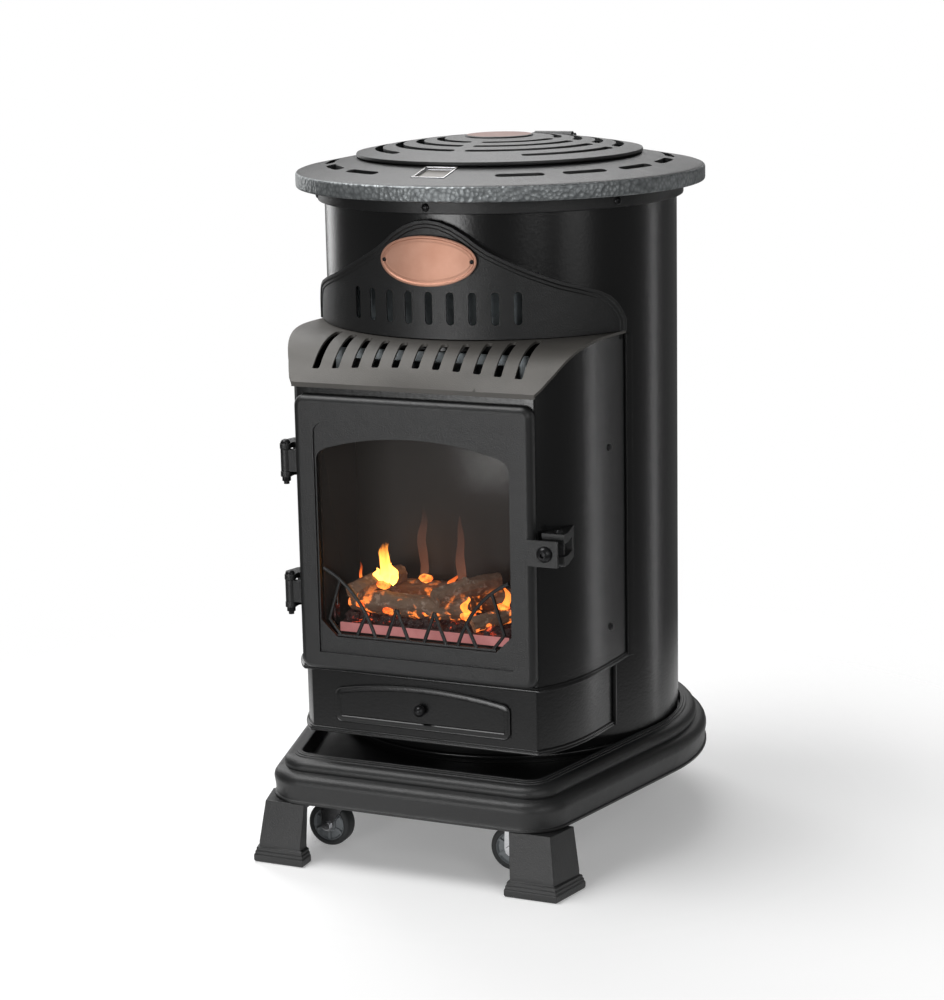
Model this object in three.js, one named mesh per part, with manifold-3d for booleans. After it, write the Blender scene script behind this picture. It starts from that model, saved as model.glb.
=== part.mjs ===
// Portable gas cabinet heater with a cast top, a glazed front door, a log fire and a
// bottle compartment behind a hinged rear door. Millimetres, +Z up, front towards -Y.
import * as THREE from 'three';
import { mergeVertices } from 'three/addons/utils/BufferGeometryUtils.js';
import Module from 'manifold-3d';

const wasm = await Module();
wasm.setup();

// ---------- driving dimensions ----------
const GAP = 0.3;                 // clearance between pieces that seat on each other
const RUN = 0.08;                // radial running clearance on pins and axles

// drum, in plan; the casing stands ahead of it
const DRUM_R = 196.5;
const DRUM_SHEET = 1.5;
const DRUM_BOTTOM = 112;
const DRUM_DOOR_AZ = 108;        // where the fixed shell ends and the rear door starts, from the front
const SHEET = 1.5;
const CASE_FRONT = DRUM_R + 50.5;

// floor up to the base casting
const BASE_BOTTOM = 68.5;
const BASE_LIP = 117;
const TRAY_FLOOR = 100;
const TRAY_THICK = 4;
const BASE_WALL = 5;
const BASE_FRONT = CASE_FRONT + 50;
const BASE_CORNER_HALF = 163.5;  // half the width across the front corners
const BASE_CORNER_R = 48;
const BASE_REAR_R = DRUM_R + 32.5;
const BASE_LIP_INSET = 32.5;

// cast feet
const FOOT_HEIGHT = 22;
const FRONT_FOOT = { inner: 118, outer: 178, face: BASE_FRONT + 11, back: BASE_FRONT - 43, flare: 12 };
const REAR_FOOT = { inner: 96, outer: 144, face: 148, back: 94, flare: -12 };
const FOOT_STEP = 5;
const FOOT_WALL = 9;
const FOOT_TOP = 6;              // thickness of the web under the base

// castors
const WHEEL_R = 25;
const WHEEL_WIDTH = 20;
const CASTOR_TRAIL = 12;
const AXLE_R = 3;
const FORK_GAP = 22;
const FORK_SHEET = 2;
const SWIVEL_R = 16;
const SWIVEL_Z = 60;
const CASTOR_PLATE = { width: 46, depth: 42, thick: 2.5, top: 72 };
const FRONT_CASTOR = { x: 110, y: 71 - BASE_FRONT };
const REAR_CASTOR = { x: 56, y: BASE_REAR_R - 63 };

// door; its heights set those of the casing, the hood and all that stands on them
const OPENING_SHOULDER = 449;
const OPENING_RISE = 23;
const OPENING = {
  half: 111, low: 250, shoulder: OPENING_SHOULDER, top: OPENING_SHOULDER + OPENING_RISE, chamfer: 18,
};
const PANEL = {
  half: OPENING.half + 2, low: OPENING.low - 18, shoulder: OPENING.shoulder + 29, top: OPENING.top + 18, depth: 2.2,
};
const DOOR_Z = [PANEL.low - 20.4, PANEL.top + 24];
const DOOR_HALF = PANEL.half + 23.7;
const DOOR_FRONT = CASE_FRONT + 12;
const DOOR_BACK = CASE_FRONT + 2 * GAP;
const DOOR_CORNER = 12;
const DOOR_BEVEL = 7;
const REBATE = 8;
const SEAL_THICK = 0.9;
const GLASS_THICK = 3.2;
const RETAINER_THICK = 2.5;
const GUARD_BAR = 4;
// the log guard: distances in from the opening's sides and heights over its sill
const GUARD = {
  arc: { rise: 75, bend: [45, 56], foot: 63 }, peak: { in: 89, rise: 36, spread: 13 }, strut: 41,
  knee: { in: 9, rise: 19, foot: 22 },
};
const HINGE_X = DOOR_HALF + 12.8;
const HINGE_Y = CASE_FRONT + 5.5;
const HINGE_PIN_R = 3;
const HINGE_KNUCKLE_R = 5.6;
const HINGE_Z = [OPENING.shoulder - 8, OPENING.low + 46];   // middles of the two door hinges
const HINGE_KNUCKLE = 24;
const HINGE_LUG = 6;
const LATCH = {
  x: DOOR_HALF + 14.3, z: OPENING.low + 112, half: 14, thick: 3, front: DOOR_FRONT + 4, screw: 8.5,
};
const PRONG = { thick: 10, offset: 12, front: CASE_FRONT + 1 };

// firebox casing, hood and plinth
const CASE_HALF = DOOR_HALF + 1.3;
const CASE_WALL = 4;
const CASE_FLANGE_Z = [DOOR_Z[0] - 3.9, DOOR_Z[0] - 0.4];
const CASE_FLANGE = 1.5;
const CASE_OPENING = { half: OPENING.half + 12, low: OPENING.low - 28, high: OPENING.top + 31 };
const SIDE_AZ = 62.307;          // where the casing's side meets the drum, degrees from the front
const SIDE_END = [
  (DRUM_R + 7.92) * Math.sin((SIDE_AZ * Math.PI) / 180), -(DRUM_R + 7.92) * Math.cos((SIDE_AZ * Math.PI) / 180),
];
const HOOD_LIP_Y = CASE_FRONT + 7;
const HOOD_LIP_Z = DOOR_Z[1] + 13;
const HOOD_LIP_DROP = 5;
const HOOD_TOP_Z = HOOD_LIP_Z + 43;
const HOOD_THICK = 3;
const HOOD_SHAPE = 2.1;
const HOOD_FULLER = { shape: 1.6, rise: 3.5, out: 4.5 };   // how much rounder the hood is at its two ends
const HOOD_STRIP = {
  y: CASE_FRONT - 47, half: CASE_HALF - 26, low: HOOD_LIP_Z + 19, high: HOOD_LIP_Z + 30, post: 10, foot: 14,
};
const HOOD_SLOTS = { count: 11, pitch: 23.3, width: 8.5, front: CASE_FRONT - 2 };
const PLINTH_Z = [137, CASE_FLANGE_Z[0] - GAP];
const PLINTH_INSET = 3.5;
const PLINTH_LIP = 4.5;
const PLINTH_END = 82.5 - DRUM_R;   // where its sides turn in to the drum, ahead of the casing's rear edge
const DRAWER = {
  half: CASE_HALF - 40, low: PLINTH_Z[0] + 20, high: PLINTH_Z[1] - 25.4, rise: 9, depth: 1.2, border: 5,
};
const KNOB_R = 6.5;

// firebox and fire
const LINER = {
  half: CASE_HALF - 17, front: CASE_FRONT - 1, back: CASE_FRONT - 105, low: DOOR_Z[0] + 2.4,
  high: HOOD_LIP_Z - 7, sheet: 2,
};
const BURNER = {
  half: LINER.half - 17, front: LINER.front - 10, back: LINER.back + 8, high: OPENING.low + 6, wall: 2,
};
const EMBER_DEPTH = 14;
const SHIELD = { y: LINER.back - 11, below: 13, foot: 10 };
const PIPE_R = 3.5;
const PIPE_X = LINER.half + 7;
const PIPE_Y = LINER.back - 1;
const PIPE_ENTRY_Z = BURNER.high - 15;

// upper front casting (the ogee panel) and its badge
const BIB_R = DRUM_R + 8.2;
const BIB_BACK_R = DRUM_R + GAP;
const BIB_THICK = 4;
const BIB_RIM = 6;
const BIB_BOTTOM = HOOD_TOP_Z + 1;
const OGEE = [                   // distance across and height over the casting's foot
  [0, 126], [28, 119], [55, 100], [78, 86], [105, 72], [133, 59], [164, 46], [176, 33], [182, 13],
].map(([x, rise]) => [x, BIB_BOTTOM + rise]);
const BIB_SLOTS = { count: 9, pitch: 6.85, width: 8.5, low: BIB_BOTTOM + 15, high: BIB_BOTTOM + 50 };
const BADGE = { half: 55, rise: 27.5, z: BIB_BOTTOM + 83, thick: 2 };

// drum, in height
const DRUM_TOP = BIB_BOTTOM + 132;
const FIRE_WINDOW = { half: CASE_HALF - 3.5, low: 150, high: HOOD_LIP_Z + 18 };
const VENT_WINDOW = { half: 110, low: BIB_BOTTOM + 7, high: BIB_BOTTOM + 69 };
const BAFFLE = { az: 37, below: 18, above: 12, set: 12 };
const REAR_DOOR_Z = [121, DRUM_TOP - 3];
const REAR_DOOR_EDGE = 0.4;      // degrees between the door's edge and the shell's
const REAR_HINGE_R = DRUM_R + 5;
const REAR_KNUCKLE_R = 4.5;
const REAR_PIN_R = 2.4;
const REAR_HINGES = [200, DRUM_TOP - 113];
const REAR_KNUCKLE = 28;
const VENT_COUNT = 9;
const VENT_SLOT = { width: 6, height: 34, z: 150, pitch: 7.5 };

// top casting, collar and lid
const PLATE_OVERHANG = 31.5;
const PLATE_R = DRUM_R + PLATE_OVERHANG;
const PLATE_RIM_Z = [DRUM_TOP + 14.5, DRUM_TOP + 32];
const PLATE_SLOPE = 0.19;
const PLATE_EDGE = 2;            // width of the round between the rim and the sloping top
const PLATE_RIM_WALL = 14;
const PLATE_THICK = 7;
const PLATE_BAND = 76;           // width of the plate's ring, from the rim in to the well
const PLATE_SLOT_IN = 37;        // from the well out to the middle of the plate's slots
const PLATE_SLOT_WIDTH = 11;
const PLATE_SLOT_AZ = [29, 51, 73, 95, 117, 139];
const PLATE_SLOT_SPAN = 16;
const COLLAR_STEP = 7.5;
const COLLAR_R = DRUM_R + COLLAR_STEP;
const LID_LAP = 7.5;             // how far the lid covers the plate round the well
const LID_REST = 0.44;           // clearance between the lid's edge and the lip of the well
const LID_EDGE = 4.5;
const LID_RISE = 20.5;
const LID_THICK = 4;
const LID_SLOTS = { count: 4, edge: 25.5, pitch: 23 };
const LID_SLOT_WIDTH = 9;
const LID_RIB = 12;
const LID_BRIDGE = 46.5;         // from the lid's edge in to the straight ends of the outer slots
const LID_BOSS_R = 38;
const LID_HINGE_BACK = 7.5;      // from the lid's edge back to its hinge
const PAN_STEP = 5;              // the pan's wall stands this far inside the lip of the well

const PLATE_CONE_R = PLATE_R - PLATE_EDGE;
const PLATE_WELL_R = PLATE_R - PLATE_BAND;
const PLATE_SLOT_R = PLATE_WELL_R + PLATE_SLOT_IN;
const FINGER_PLATE = { width: 38, length: 40, r: PLATE_WELL_R + 26, thick: 4, rim: 2.5 };
const coneZ = (r) => PLATE_RIM_Z[1] + (PLATE_CONE_R - r) * PLATE_SLOPE;
const LID_R = PLATE_WELL_R + LID_LAP;
const LID_CHORD = LID_R - LID_BRIDGE;
const LID_SLOT_R = Array.from({ length: LID_SLOTS.count }, (_, i) => LID_R - LID_SLOTS.edge - i * LID_SLOTS.pitch);
const LID_EDGE_Z = coneZ(PLATE_WELL_R) + LID_REST;
const LID_TOP = LID_EDGE_Z + LID_RISE;
const LID_HINGE = {
  y: LID_R + LID_HINGE_BACK, z: LID_EDGE_Z + LID_EDGE, pin: 2.5, knuckle: 6, half: 14, lug: 9,
};

// controls
const PAN_R = PLATE_WELL_R - PAN_STEP;
const PAN_FLOOR = PLATE_RIM_Z[0] + 0.5;
const CONTROLS_IN = 29;          // from the pan's wall in to the middles of the knob and the button
const KNOB = { x: -30, y: CONTROLS_IN - PAN_R, r: 17, height: 16 };
const BUTTON = { x: 38, y: CONTROLS_IN - PAN_R, r: 7.5, height: 8 };
const VALVE_Z = [PAN_FLOOR - 21, PAN_FLOOR - 2];

// ---------- finishes ----------
const finish = (color, roughness, metalness, more = {}) =>
  new THREE.MeshStandardMaterial({ color, roughness, metalness, ...more });
const CAST = finish(0x1f2021, 0.55, 0.35);
const ENAMEL = finish(0x1b1c1d, 0.45, 0.2);
const HOOD_FINISH = finish(0x2a2826, 0.6, 0.3);
const COPPER = finish(0xb9745a, 0.35, 1);
const BLACK_STEEL = finish(0x121314, 0.35, 0.8);
const BRIGHT = finish(0xb8b9b8, 0.25, 1);
const GALVANISED = finish(0x8e989c, 0.45, 0.9);
const LINER_STEEL = finish(0x3a3734, 0.7, 0.4);
const GLASS = finish(0x88857f, 0.05, 0, { transparent: true, opacity: 0.25 });
const CERAMIC_LOG = finish(0x4a3a2e, 0.9, 0);
const EMBER = finish(0x2a1d1a, 0.95, 0, { emissive: 0x601405 });
const BRASS = finish(0xb59148, 0.3, 1);
const RUBBER = finish(0x55585a, 0.7, 0);
const PLASTIC = finish(0x18191a, 0.5, 0);

// ---------- building blocks ----------
const rad = THREE.MathUtils.degToRad;

function solid(geometry) {
  const bare = geometry.index ? geometry.toNonIndexed() : geometry.clone();
  for (const name of Object.keys(bare.attributes)) {
    if (name !== 'position') bare.deleteAttribute(name);
  }
  const merged = mergeVertices(bare, 1e-4);
  const faces = [];
  const index = merged.index.array;
  for (let i = 0; i < index.length; i += 3) {
    const [a, b, c] = [index[i], index[i + 1], index[i + 2]];
    if (a !== b && b !== c && c !== a) faces.push(a, b, c);
  }
  const mesh = new wasm.Mesh({
    numProp: 3,
    vertProperties: Float32Array.from(merged.attributes.position.array),
    triVerts: Uint32Array.from(faces),
  });
  return new wasm.Manifold(mesh);
}

function surface(body) {
  const mesh = body.getMesh();
  const geometry = new THREE.BufferGeometry();
  geometry.setAttribute('position', new THREE.BufferAttribute(mesh.vertProperties, 3));
  geometry.setIndex(new THREE.BufferAttribute(mesh.triVerts, 1));
  geometry.computeVertexNormals();
  return geometry;
}

const join = (...bodies) => bodies.reduce((all, next) => all.add(next));
const cut = (body, ...tools) => tools.reduce((left, tool) => left.subtract(tool), body);

function block(x0, x1, y0, y1, z0, z1) {
  const geometry = new THREE.BoxGeometry(x1 - x0, y1 - y0, z1 - z0);
  geometry.translate((x0 + x1) / 2, (y0 + y1) / 2, (z0 + z1) / 2);
  return solid(geometry);
}

// a round bar from one point to another
function bar(from, to, radius, sides = 20, endRadius = radius) {
  const a = new THREE.Vector3(...from);
  const b = new THREE.Vector3(...to);
  const geometry = new THREE.CylinderGeometry(endRadius, radius, a.distanceTo(b), sides);
  const turn = new THREE.Quaternion().setFromUnitVectors(new THREE.Vector3(0, 1, 0), b.clone().sub(a).normalize());
  geometry.applyQuaternion(turn);
  geometry.translate((a.x + b.x) / 2, (a.y + b.y) / 2, (a.z + b.z) / 2);
  return solid(geometry);
}

// a shape drawn in plan, raised from z0 to z1
function raised(shape, z0, z1, curveSegments = 16) {
  const geometry = new THREE.ExtrudeGeometry(shape, { depth: z1 - z0, bevelEnabled: false, curveSegments });
  geometry.translate(0, 0, z0);
  return solid(geometry);
}

// a shape drawn in front view (x across, z up), running from y0 to y1
function across(shape, y0, y1, curveSegments = 12, bevel = null) {
  const options = { depth: y1 - y0, bevelEnabled: false, curveSegments };
  if (bevel) {
    Object.assign(options, {
      bevelEnabled: true, bevelSize: bevel, bevelThickness: bevel, bevelOffset: -bevel, bevelSegments: 2,
      depth: y1 - y0 - 2 * bevel,
    });
  }
  const geometry = new THREE.ExtrudeGeometry(shape, options);
  if (bevel) geometry.translate(0, 0, bevel);
  geometry.rotateX(Math.PI / 2);
  geometry.translate(0, y1, 0);
  return solid(geometry);
}

// a profile of [radius, z] pairs turned about the Z axis
function turned(profile, sides = 48) {
  const points = profile.map(([r, z]) => new THREE.Vector2(r, z));
  if (profile[0][0] !== 0) points.push(points[0].clone());
  const geometry = new THREE.LatheGeometry(points, sides);
  geometry.rotateX(Math.PI / 2);
  const body = solid(geometry);
  return body.volume() > 0 ? body : solid(flipped(geometry));
}

function flipped(geometry) {
  const plain = geometry.toNonIndexed();
  const position = plain.attributes.position.array;
  for (let i = 0; i < position.length; i += 9) {
    for (let k = 0; k < 3; k += 1) {
      [position[i + 3 + k], position[i + 6 + k]] = [position[i + 6 + k], position[i + 3 + k]];
    }
  }
  return plain;
}

// azimuths are degrees from the front (-Y), positive towards +X
const polar = (r, azimuth) => [r * Math.sin(rad(azimuth)), -r * Math.cos(rad(azimuth))];

function sector(rIn, rOut, az0, az1, z0, z1, curveSegments = 24) {
  const shape = new THREE.Shape();
  shape.absarc(0, 0, rOut, rad(az0 - 90), rad(az1 - 90), false);
  shape.absarc(0, 0, rIn, rad(az1 - 90), rad(az0 - 90), true);
  shape.closePath();
  return raised(shape, z0, z1, curveSegments);
}

function polygon(points) {
  return new THREE.Shape(points.map(([x, y]) => new THREE.Vector2(x, y)));
}

function roundedBox(x0, x1, y0, y1, radius) {
  const shape = new THREE.Shape();
  shape.moveTo(x0 + radius, y0);
  shape.lineTo(x1 - radius, y0);
  shape.absarc(x1 - radius, y0 + radius, radius, -Math.PI / 2, 0, false);
  shape.lineTo(x1, y1 - radius);
  shape.absarc(x1 - radius, y1 - radius, radius, 0, Math.PI / 2, false);
  shape.lineTo(x0 + radius, y1);
  shape.absarc(x0 + radius, y1 - radius, radius, Math.PI / 2, Math.PI, false);
  shape.lineTo(x0, y0 + radius);
  shape.absarc(x0 + radius, y0 + radius, radius, Math.PI, 1.5 * Math.PI, false);
  return shape;
}

// rings of points with the same count joined into one closed skin, capped at both ends
function lofted(rings) {
  const count = rings[0].length;
  const position = rings.flat(2);
  const faces = [];
  for (let r = 0; r + 1 < rings.length; r += 1) {
    for (let i = 0; i < count; i += 1) {
      const j = (i + 1) % count;
      const [a, b, c, d] = [r * count + i, r * count + j, (r + 1) * count + i, (r + 1) * count + j];
      faces.push(a, b, d, a, d, c);
    }
  }
  for (const [ring, up] of [[0, false], [rings.length - 1, true]]) {
    const flat = rings[ring].map(([x, y]) => new THREE.Vector2(x, y));
    for (const [a, b, c] of THREE.ShapeUtils.triangulateShape(flat, [])) {
      const base = ring * count;
      faces.push(...(up ? [base + a, base + b, base + c] : [base + a, base + c, base + b]));
    }
  }
  const geometry = new THREE.BufferGeometry();
  geometry.setAttribute('position', new THREE.Float32BufferAttribute(position, 3));
  geometry.setIndex(faces);
  return solid(geometry);
}

// ---------- the assembly ----------
const heater = new THREE.Group();
const frame = new THREE.Group();
const FOOT_REACH = FRONT_FOOT.face;
frame.position.set(0, (FOOT_REACH - BASE_REAR_R) / 2, 0);
heater.add(frame);

function piece(name, body, material, position = [0, 0, 0], turn = [0, 0, 0]) {
  const mesh = new THREE.Mesh(surface(body), material);
  mesh.name = name;
  mesh.position.set(...position);
  mesh.rotation.set(...turn);
  frame.add(mesh);
  return mesh;
}

// ---------- base casting ----------
// the plan outline: a straight front, rounded corners, sides that run out to a round back
function basePlan(inset) {
  const corner = new THREE.Vector2(BASE_CORNER_HALF, -BASE_FRONT);
  const along = Math.atan2(corner.y, corner.x) + Math.acos(BASE_REAR_R / corner.length());
  const radius = Math.max(BASE_CORNER_R - inset, 6);
  const rear = BASE_REAR_R - inset;
  const front = BASE_FRONT - inset;
  const cy = -front + radius;
  const cx = (rear - radius - Math.sin(along) * cy) / Math.cos(along);
  const right = [];
  const CORNER_STEPS = 4;
  const REAR_STEPS = 10;
  for (let i = 0; i <= CORNER_STEPS; i += 1) {
    const a = -Math.PI / 2 + (along + Math.PI / 2) * (i / CORNER_STEPS);
    right.push([cx + radius * Math.cos(a), cy + radius * Math.sin(a)]);
  }
  for (let i = 0; i < REAR_STEPS; i += 1) {
    const a = along + (Math.PI / 2 - along) * (i / REAR_STEPS);
    right.push([rear * Math.cos(a), rear * Math.sin(a)]);
  }
  const left = right.map(([x, y]) => [-x, y]).reverse();
  return [...right, [0, rear], ...left];
}

function baseCasting() {
  const outside = [
    [0, BASE_BOTTOM], [0, BASE_BOTTOM + 3], [1.6, BASE_BOTTOM + 4], [1.2, 82], [0.2, 88], [0.8, 93],
    [5.5, 98.6], [12.5, 101], [11.8, 106], [15, 111], [22, 114], [27, BASE_LIP], [BASE_LIP_INSET, BASE_LIP],
    [BASE_LIP_INSET + 2, TRAY_FLOOR],
  ];
  const inside = [
    [BASE_WALL, BASE_BOTTOM], [BASE_WALL + 2, 88], [BASE_WALL + 9, TRAY_FLOOR - TRAY_THICK],
  ];
  const ring = ([inset, z]) => basePlan(inset).map(([x, y]) => [x, y, z]);
  const body = lofted(outside.map(ring));
  const hollow = lofted([[BASE_WALL, BASE_BOTTOM - 5], ...inside].map(ring));
  const pad = ({ x, y }, side) => block(
    side * x - CASTOR_PLATE.width / 2, side * x + CASTOR_PLATE.width / 2,
    y - CASTOR_PLATE.depth / 2, y + CASTOR_PLATE.depth / 2, CASTOR_PLATE.top, TRAY_FLOOR - 1);
  const pads = [FRONT_CASTOR, REAR_CASTOR].flatMap((place) => [pad(place, 1), pad(place, -1)]);
  const seat = bar([0, 0, TRAY_FLOOR], [0, 0, BASE_LIP + 5], DRUM_R + 2 + GAP + 0.5, 48);
  return join(cut(body, hollow, seat), ...pads);
}
piece('base_casting', baseCasting(), CAST);

// ---------- cast feet ----------
// each foot is an angle casting, open behind, with stepped pads, a web and a stem that rises to the tray
function foot(side, end, { inner, outer, face, back, flare }) {
  const level = (z, step, outerStep = step) => [
    [inner + step, face - step], [outer - outerStep, face - step],
    [outer + flare - outerStep, back + step], [inner + step, back + step],
  ].map(([x, y]) => [x, y, z]);
  const profile = [
    [0, 1.5], [1.5, 0], [8, 0], [9.5, 1.2], [12, 1.2], [13, 2.4], [16, 2.4], [17, FOOT_STEP],
    [FOOT_HEIGHT, FOOT_STEP],
  ];
  const rings = profile.map(([z, step]) => level(z, step));
  rings.push([
    [inner + 2, face - 12], [outer - 11, face - 12], [outer + flare - 12, back + 2], [inner + 2, back + 2],
  ].map(([x, y]) => [x, y, BASE_BOTTOM - GAP]));
  const mirrored = side * end > 0;
  const placed = rings.map((ring) => {
    const set = ring.map(([x, y, z]) => [side * x, end * y, z]);
    return mirrored ? set.reverse() : set;
  });
  const middle = [side * (inner + 12), end * (back + 14)];
  const stem = block(middle[0] - 8, middle[0] + 8, middle[1] - 8, middle[1] + 8,
    BASE_BOTTOM - 8, TRAY_FLOOR - TRAY_THICK - GAP);
  const shaft = lofted(placed);
  const body = shaft.volume() > 0 ? shaft : lofted(placed.map((ring) => [...ring].reverse()));
  const span = (way, low, high) => [way * low, way * high].sort((a, b) => a - b);
  const [x0, x1] = span(side, inner - 5, outer + Math.min(flare, 0) - 12 - FOOT_WALL);
  const [y0, y1] = span(end, back - 5, face - 12 - FOOT_WALL);
  const behind = block(x0, x1, y0, y1, -5, BASE_BOTTOM - GAP - FOOT_TOP);
  return join(cut(body, behind), stem);
}
for (const [side, hand] of [[-1, 'left'], [1, 'right']]) {
  piece(`foot_front_${hand}`, foot(side, -1, FRONT_FOOT), CAST);
  piece(`foot_rear_${hand}`, foot(side, 1, REAR_FOOT), CAST);
}

// ---------- castors ----------
function castorFork() {
  const cheekY = FORK_GAP / 2;
  const cheek = polygon([
    [-SWIVEL_R * 0.8, SWIVEL_Z], [SWIVEL_R * 0.8, SWIVEL_Z], [-CASTOR_TRAIL + 6, WHEEL_R - 6],
    [-CASTOR_TRAIL - 6, WHEEL_R - 6],
  ]);
  const cheeks = [
    across(cheek, cheekY, cheekY + FORK_SHEET),
    across(cheek, -cheekY - FORK_SHEET, -cheekY),
  ];
  const top = CASTOR_PLATE.top - GAP;
  const crown = join(bar([0, 0, SWIVEL_Z - 2], [0, 0, top - CASTOR_PLATE.thick - GAP], SWIVEL_R, 20),
    bar([0, 0, SWIVEL_Z], [0, 0, top], 6, 14));
  const axle = bar([-CASTOR_TRAIL, -cheekY - 5, WHEEL_R], [-CASTOR_TRAIL, cheekY + 5, WHEEL_R], AXLE_R, 16);
  return join(crown, ...cheeks, axle);
}

function castorWheel() {
  const half = WHEEL_WIDTH / 2;
  const bore = AXLE_R + RUN;
  const profile = [
    [bore, -half], [8, -half], [9, -half + 3], [17, -half + 0.6], [22, -half + 0.6],
    [WHEEL_R, -half + 5], [WHEEL_R, half - 5], [22, half - 0.6], [17, half - 0.6], [9, half - 3], [8, half],
    [bore, half],
  ];
  const points = profile.map(([r, z]) => new THREE.Vector2(r, z));
  points.push(points[0].clone());
  const geometry = new THREE.LatheGeometry(points, 18);
  const body = solid(geometry);
  return body.volume() > 0 ? body : solid(flipped(geometry));
}

const castorPlaces = [
  ['front_left', -FRONT_CASTOR.x, FRONT_CASTOR.y], ['front_right', FRONT_CASTOR.x, FRONT_CASTOR.y],
  ['rear_left', -REAR_CASTOR.x, REAR_CASTOR.y], ['rear_right', REAR_CASTOR.x, REAR_CASTOR.y],
];
for (const [where, x, y] of castorPlaces) {
  piece(`castor_fork_${where}`, castorFork(), BRIGHT, [x, y, 0]);
  piece(`castor_wheel_${where}`, castorWheel(), RUBBER, [x - CASTOR_TRAIL, y, WHEEL_R]);
}

// ---------- drum ----------
const DRUM_IN = DRUM_R - DRUM_SHEET;
const floorSkirt = DRUM_IN - 3;
piece('drum_floor', turned([
  [0, DRUM_BOTTOM - GAP - 3], [floorSkirt - 6, DRUM_BOTTOM - GAP - 3], [floorSkirt - 6, TRAY_FLOOR + GAP],
  [floorSkirt, TRAY_FLOOR + GAP], [floorSkirt, DRUM_BOTTOM - 7], [DRUM_R + 2, DRUM_BOTTOM - 5.5],
  [DRUM_R + 2, DRUM_BOTTOM - 1.8], [DRUM_R, DRUM_BOTTOM - GAP], [0, DRUM_BOTTOM - GAP],
], 40), ENAMEL);

const drumShell = cut(
  sector(DRUM_IN, DRUM_R, -DRUM_DOOR_AZ, DRUM_DOOR_AZ, DRUM_BOTTOM, DRUM_TOP - GAP, 18),
  ...[FIRE_WINDOW, VENT_WINDOW].map(({ half, low, high }) => block(-half, half, -DRUM_R - 5, 0, low, high)));
piece('drum_shell', drumShell, ENAMEL);

// rear door: a curved panel with low vents, a pull, and knuckles on its left edge
const doorStart = DRUM_DOOR_AZ + REAR_DOOR_EDGE;
const doorEnd = 360 - DRUM_DOOR_AZ - REAR_DOOR_EDGE;
const hingeAz = -DRUM_DOOR_AZ;
const [rearHingeX, rearHingeY] = polar(REAR_HINGE_R, hingeAz);

function rearDoor() {
  let panel = sector(DRUM_IN, DRUM_R, doorStart, doorEnd, ...REAR_DOOR_Z, 11);
  for (let i = 0; i < VENT_COUNT; i += 1) {
    const azimuth = 180 + (i - (VENT_COUNT - 1) / 2) * VENT_SLOT.pitch;
    const slot = block(-VENT_SLOT.width / 2, VENT_SLOT.width / 2, -DRUM_R - 5, -DRUM_R + 5,
      VENT_SLOT.z, VENT_SLOT.z + VENT_SLOT.height);
    panel = cut(panel, slot.rotate([0, 0, azimuth]));
  }
  for (const z of REAR_HINGES) {
    const top = z + REAR_KNUCKLE;
    const leaf = sector(DRUM_R - 0.5, DRUM_R + SHEET, hingeAz - 7, hingeAz - REAR_DOOR_EDGE, z, top, 4);
    const knuckle = bar([rearHingeX, rearHingeY, z], [rearHingeX, rearHingeY, top], REAR_KNUCKLE_R, 16);
    const web = sector(DRUM_R, REAR_HINGE_R, hingeAz - 2, hingeAz - REAR_DOOR_EDGE, z, z + REAR_KNUCKLE, 4);
    const bore = bar([rearHingeX, rearHingeY, z - 1], [rearHingeX, rearHingeY, z + REAR_KNUCKLE + 1],
      REAR_PIN_R + RUN, 16);
    panel = cut(join(panel, leaf, web, knuckle), bore);
  }
  return panel;
}
piece('rear_door', rearDoor(), ENAMEL);

REAR_HINGES.forEach((z, i) => {
  const low = z - GAP - REAR_KNUCKLE;
  const high = z - GAP;
  const leaf = sector(DRUM_R + GAP, DRUM_R + GAP + SHEET, hingeAz + 0.6, hingeAz + 8, low, high, 4);
  const web = sector(DRUM_R + GAP, REAR_HINGE_R, hingeAz + 0.6, hingeAz + 2.2, low, high, 4);
  const knuckle = bar([rearHingeX, rearHingeY, low], [rearHingeX, rearHingeY, high], REAR_KNUCKLE_R, 16);
  const pinTop = z + REAR_KNUCKLE + 4;
  const pin = bar([rearHingeX, rearHingeY, high - 4], [rearHingeX, rearHingeY, pinTop], REAR_PIN_R, 16);
  piece(`rear_hinge_${['lower', 'upper'][i]}`, join(leaf, web, knuckle, pin), BLACK_STEEL);
});

const PULL_AZ = 150;
const PULL_Z = 420;
{
  const [x0, y0] = polar(DRUM_R + GAP, PULL_AZ);
  const [x1, y1] = polar(DRUM_R + 12, PULL_AZ);
  const [x2, y2] = polar(DRUM_R + 20, PULL_AZ);
  const stalk = bar([x0, y0, PULL_Z], [x1, y1, PULL_Z], 6, 20);
  const pull = join(stalk, bar([x1, y1, PULL_Z], [x2, y2, PULL_Z], 11, 20, 9));
  piece('rear_door_pull', pull, PLASTIC);
}

// ---------- collar, top casting ----------
piece('collar_ring', turned([
  [DRUM_IN - 9, DRUM_TOP], [COLLAR_R - 1.5, DRUM_TOP], [COLLAR_R, DRUM_TOP + 1.5], [COLLAR_R, PLATE_RIM_Z[0] - GAP],
  [COLLAR_R - 6, PLATE_RIM_Z[0] - GAP], [COLLAR_R - 6, DRUM_TOP + SHEET], [DRUM_IN - 9, DRUM_TOP + SHEET],
], 40), CAST);

// a curved slot of constant width about a radius, between two azimuths
const arcSlot = (r, width, az0, az1, z0, z1) => sector(r - width / 2, r + width / 2, az0, az1, z0, z1, 2);

function fingerSeat(clear) {
  const half = FINGER_PLATE.width / 2 + clear;
  const long = FINGER_PLATE.length / 2 + clear;
  const body = block(-half, half, -long, long, -30, 30);
  return body.rotate([THREE.MathUtils.radToDeg(Math.atan(PLATE_SLOPE)), 0, 0])
    .translate([0, -FINGER_PLATE.r, coneZ(FINGER_PLATE.r)]);
}

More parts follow.
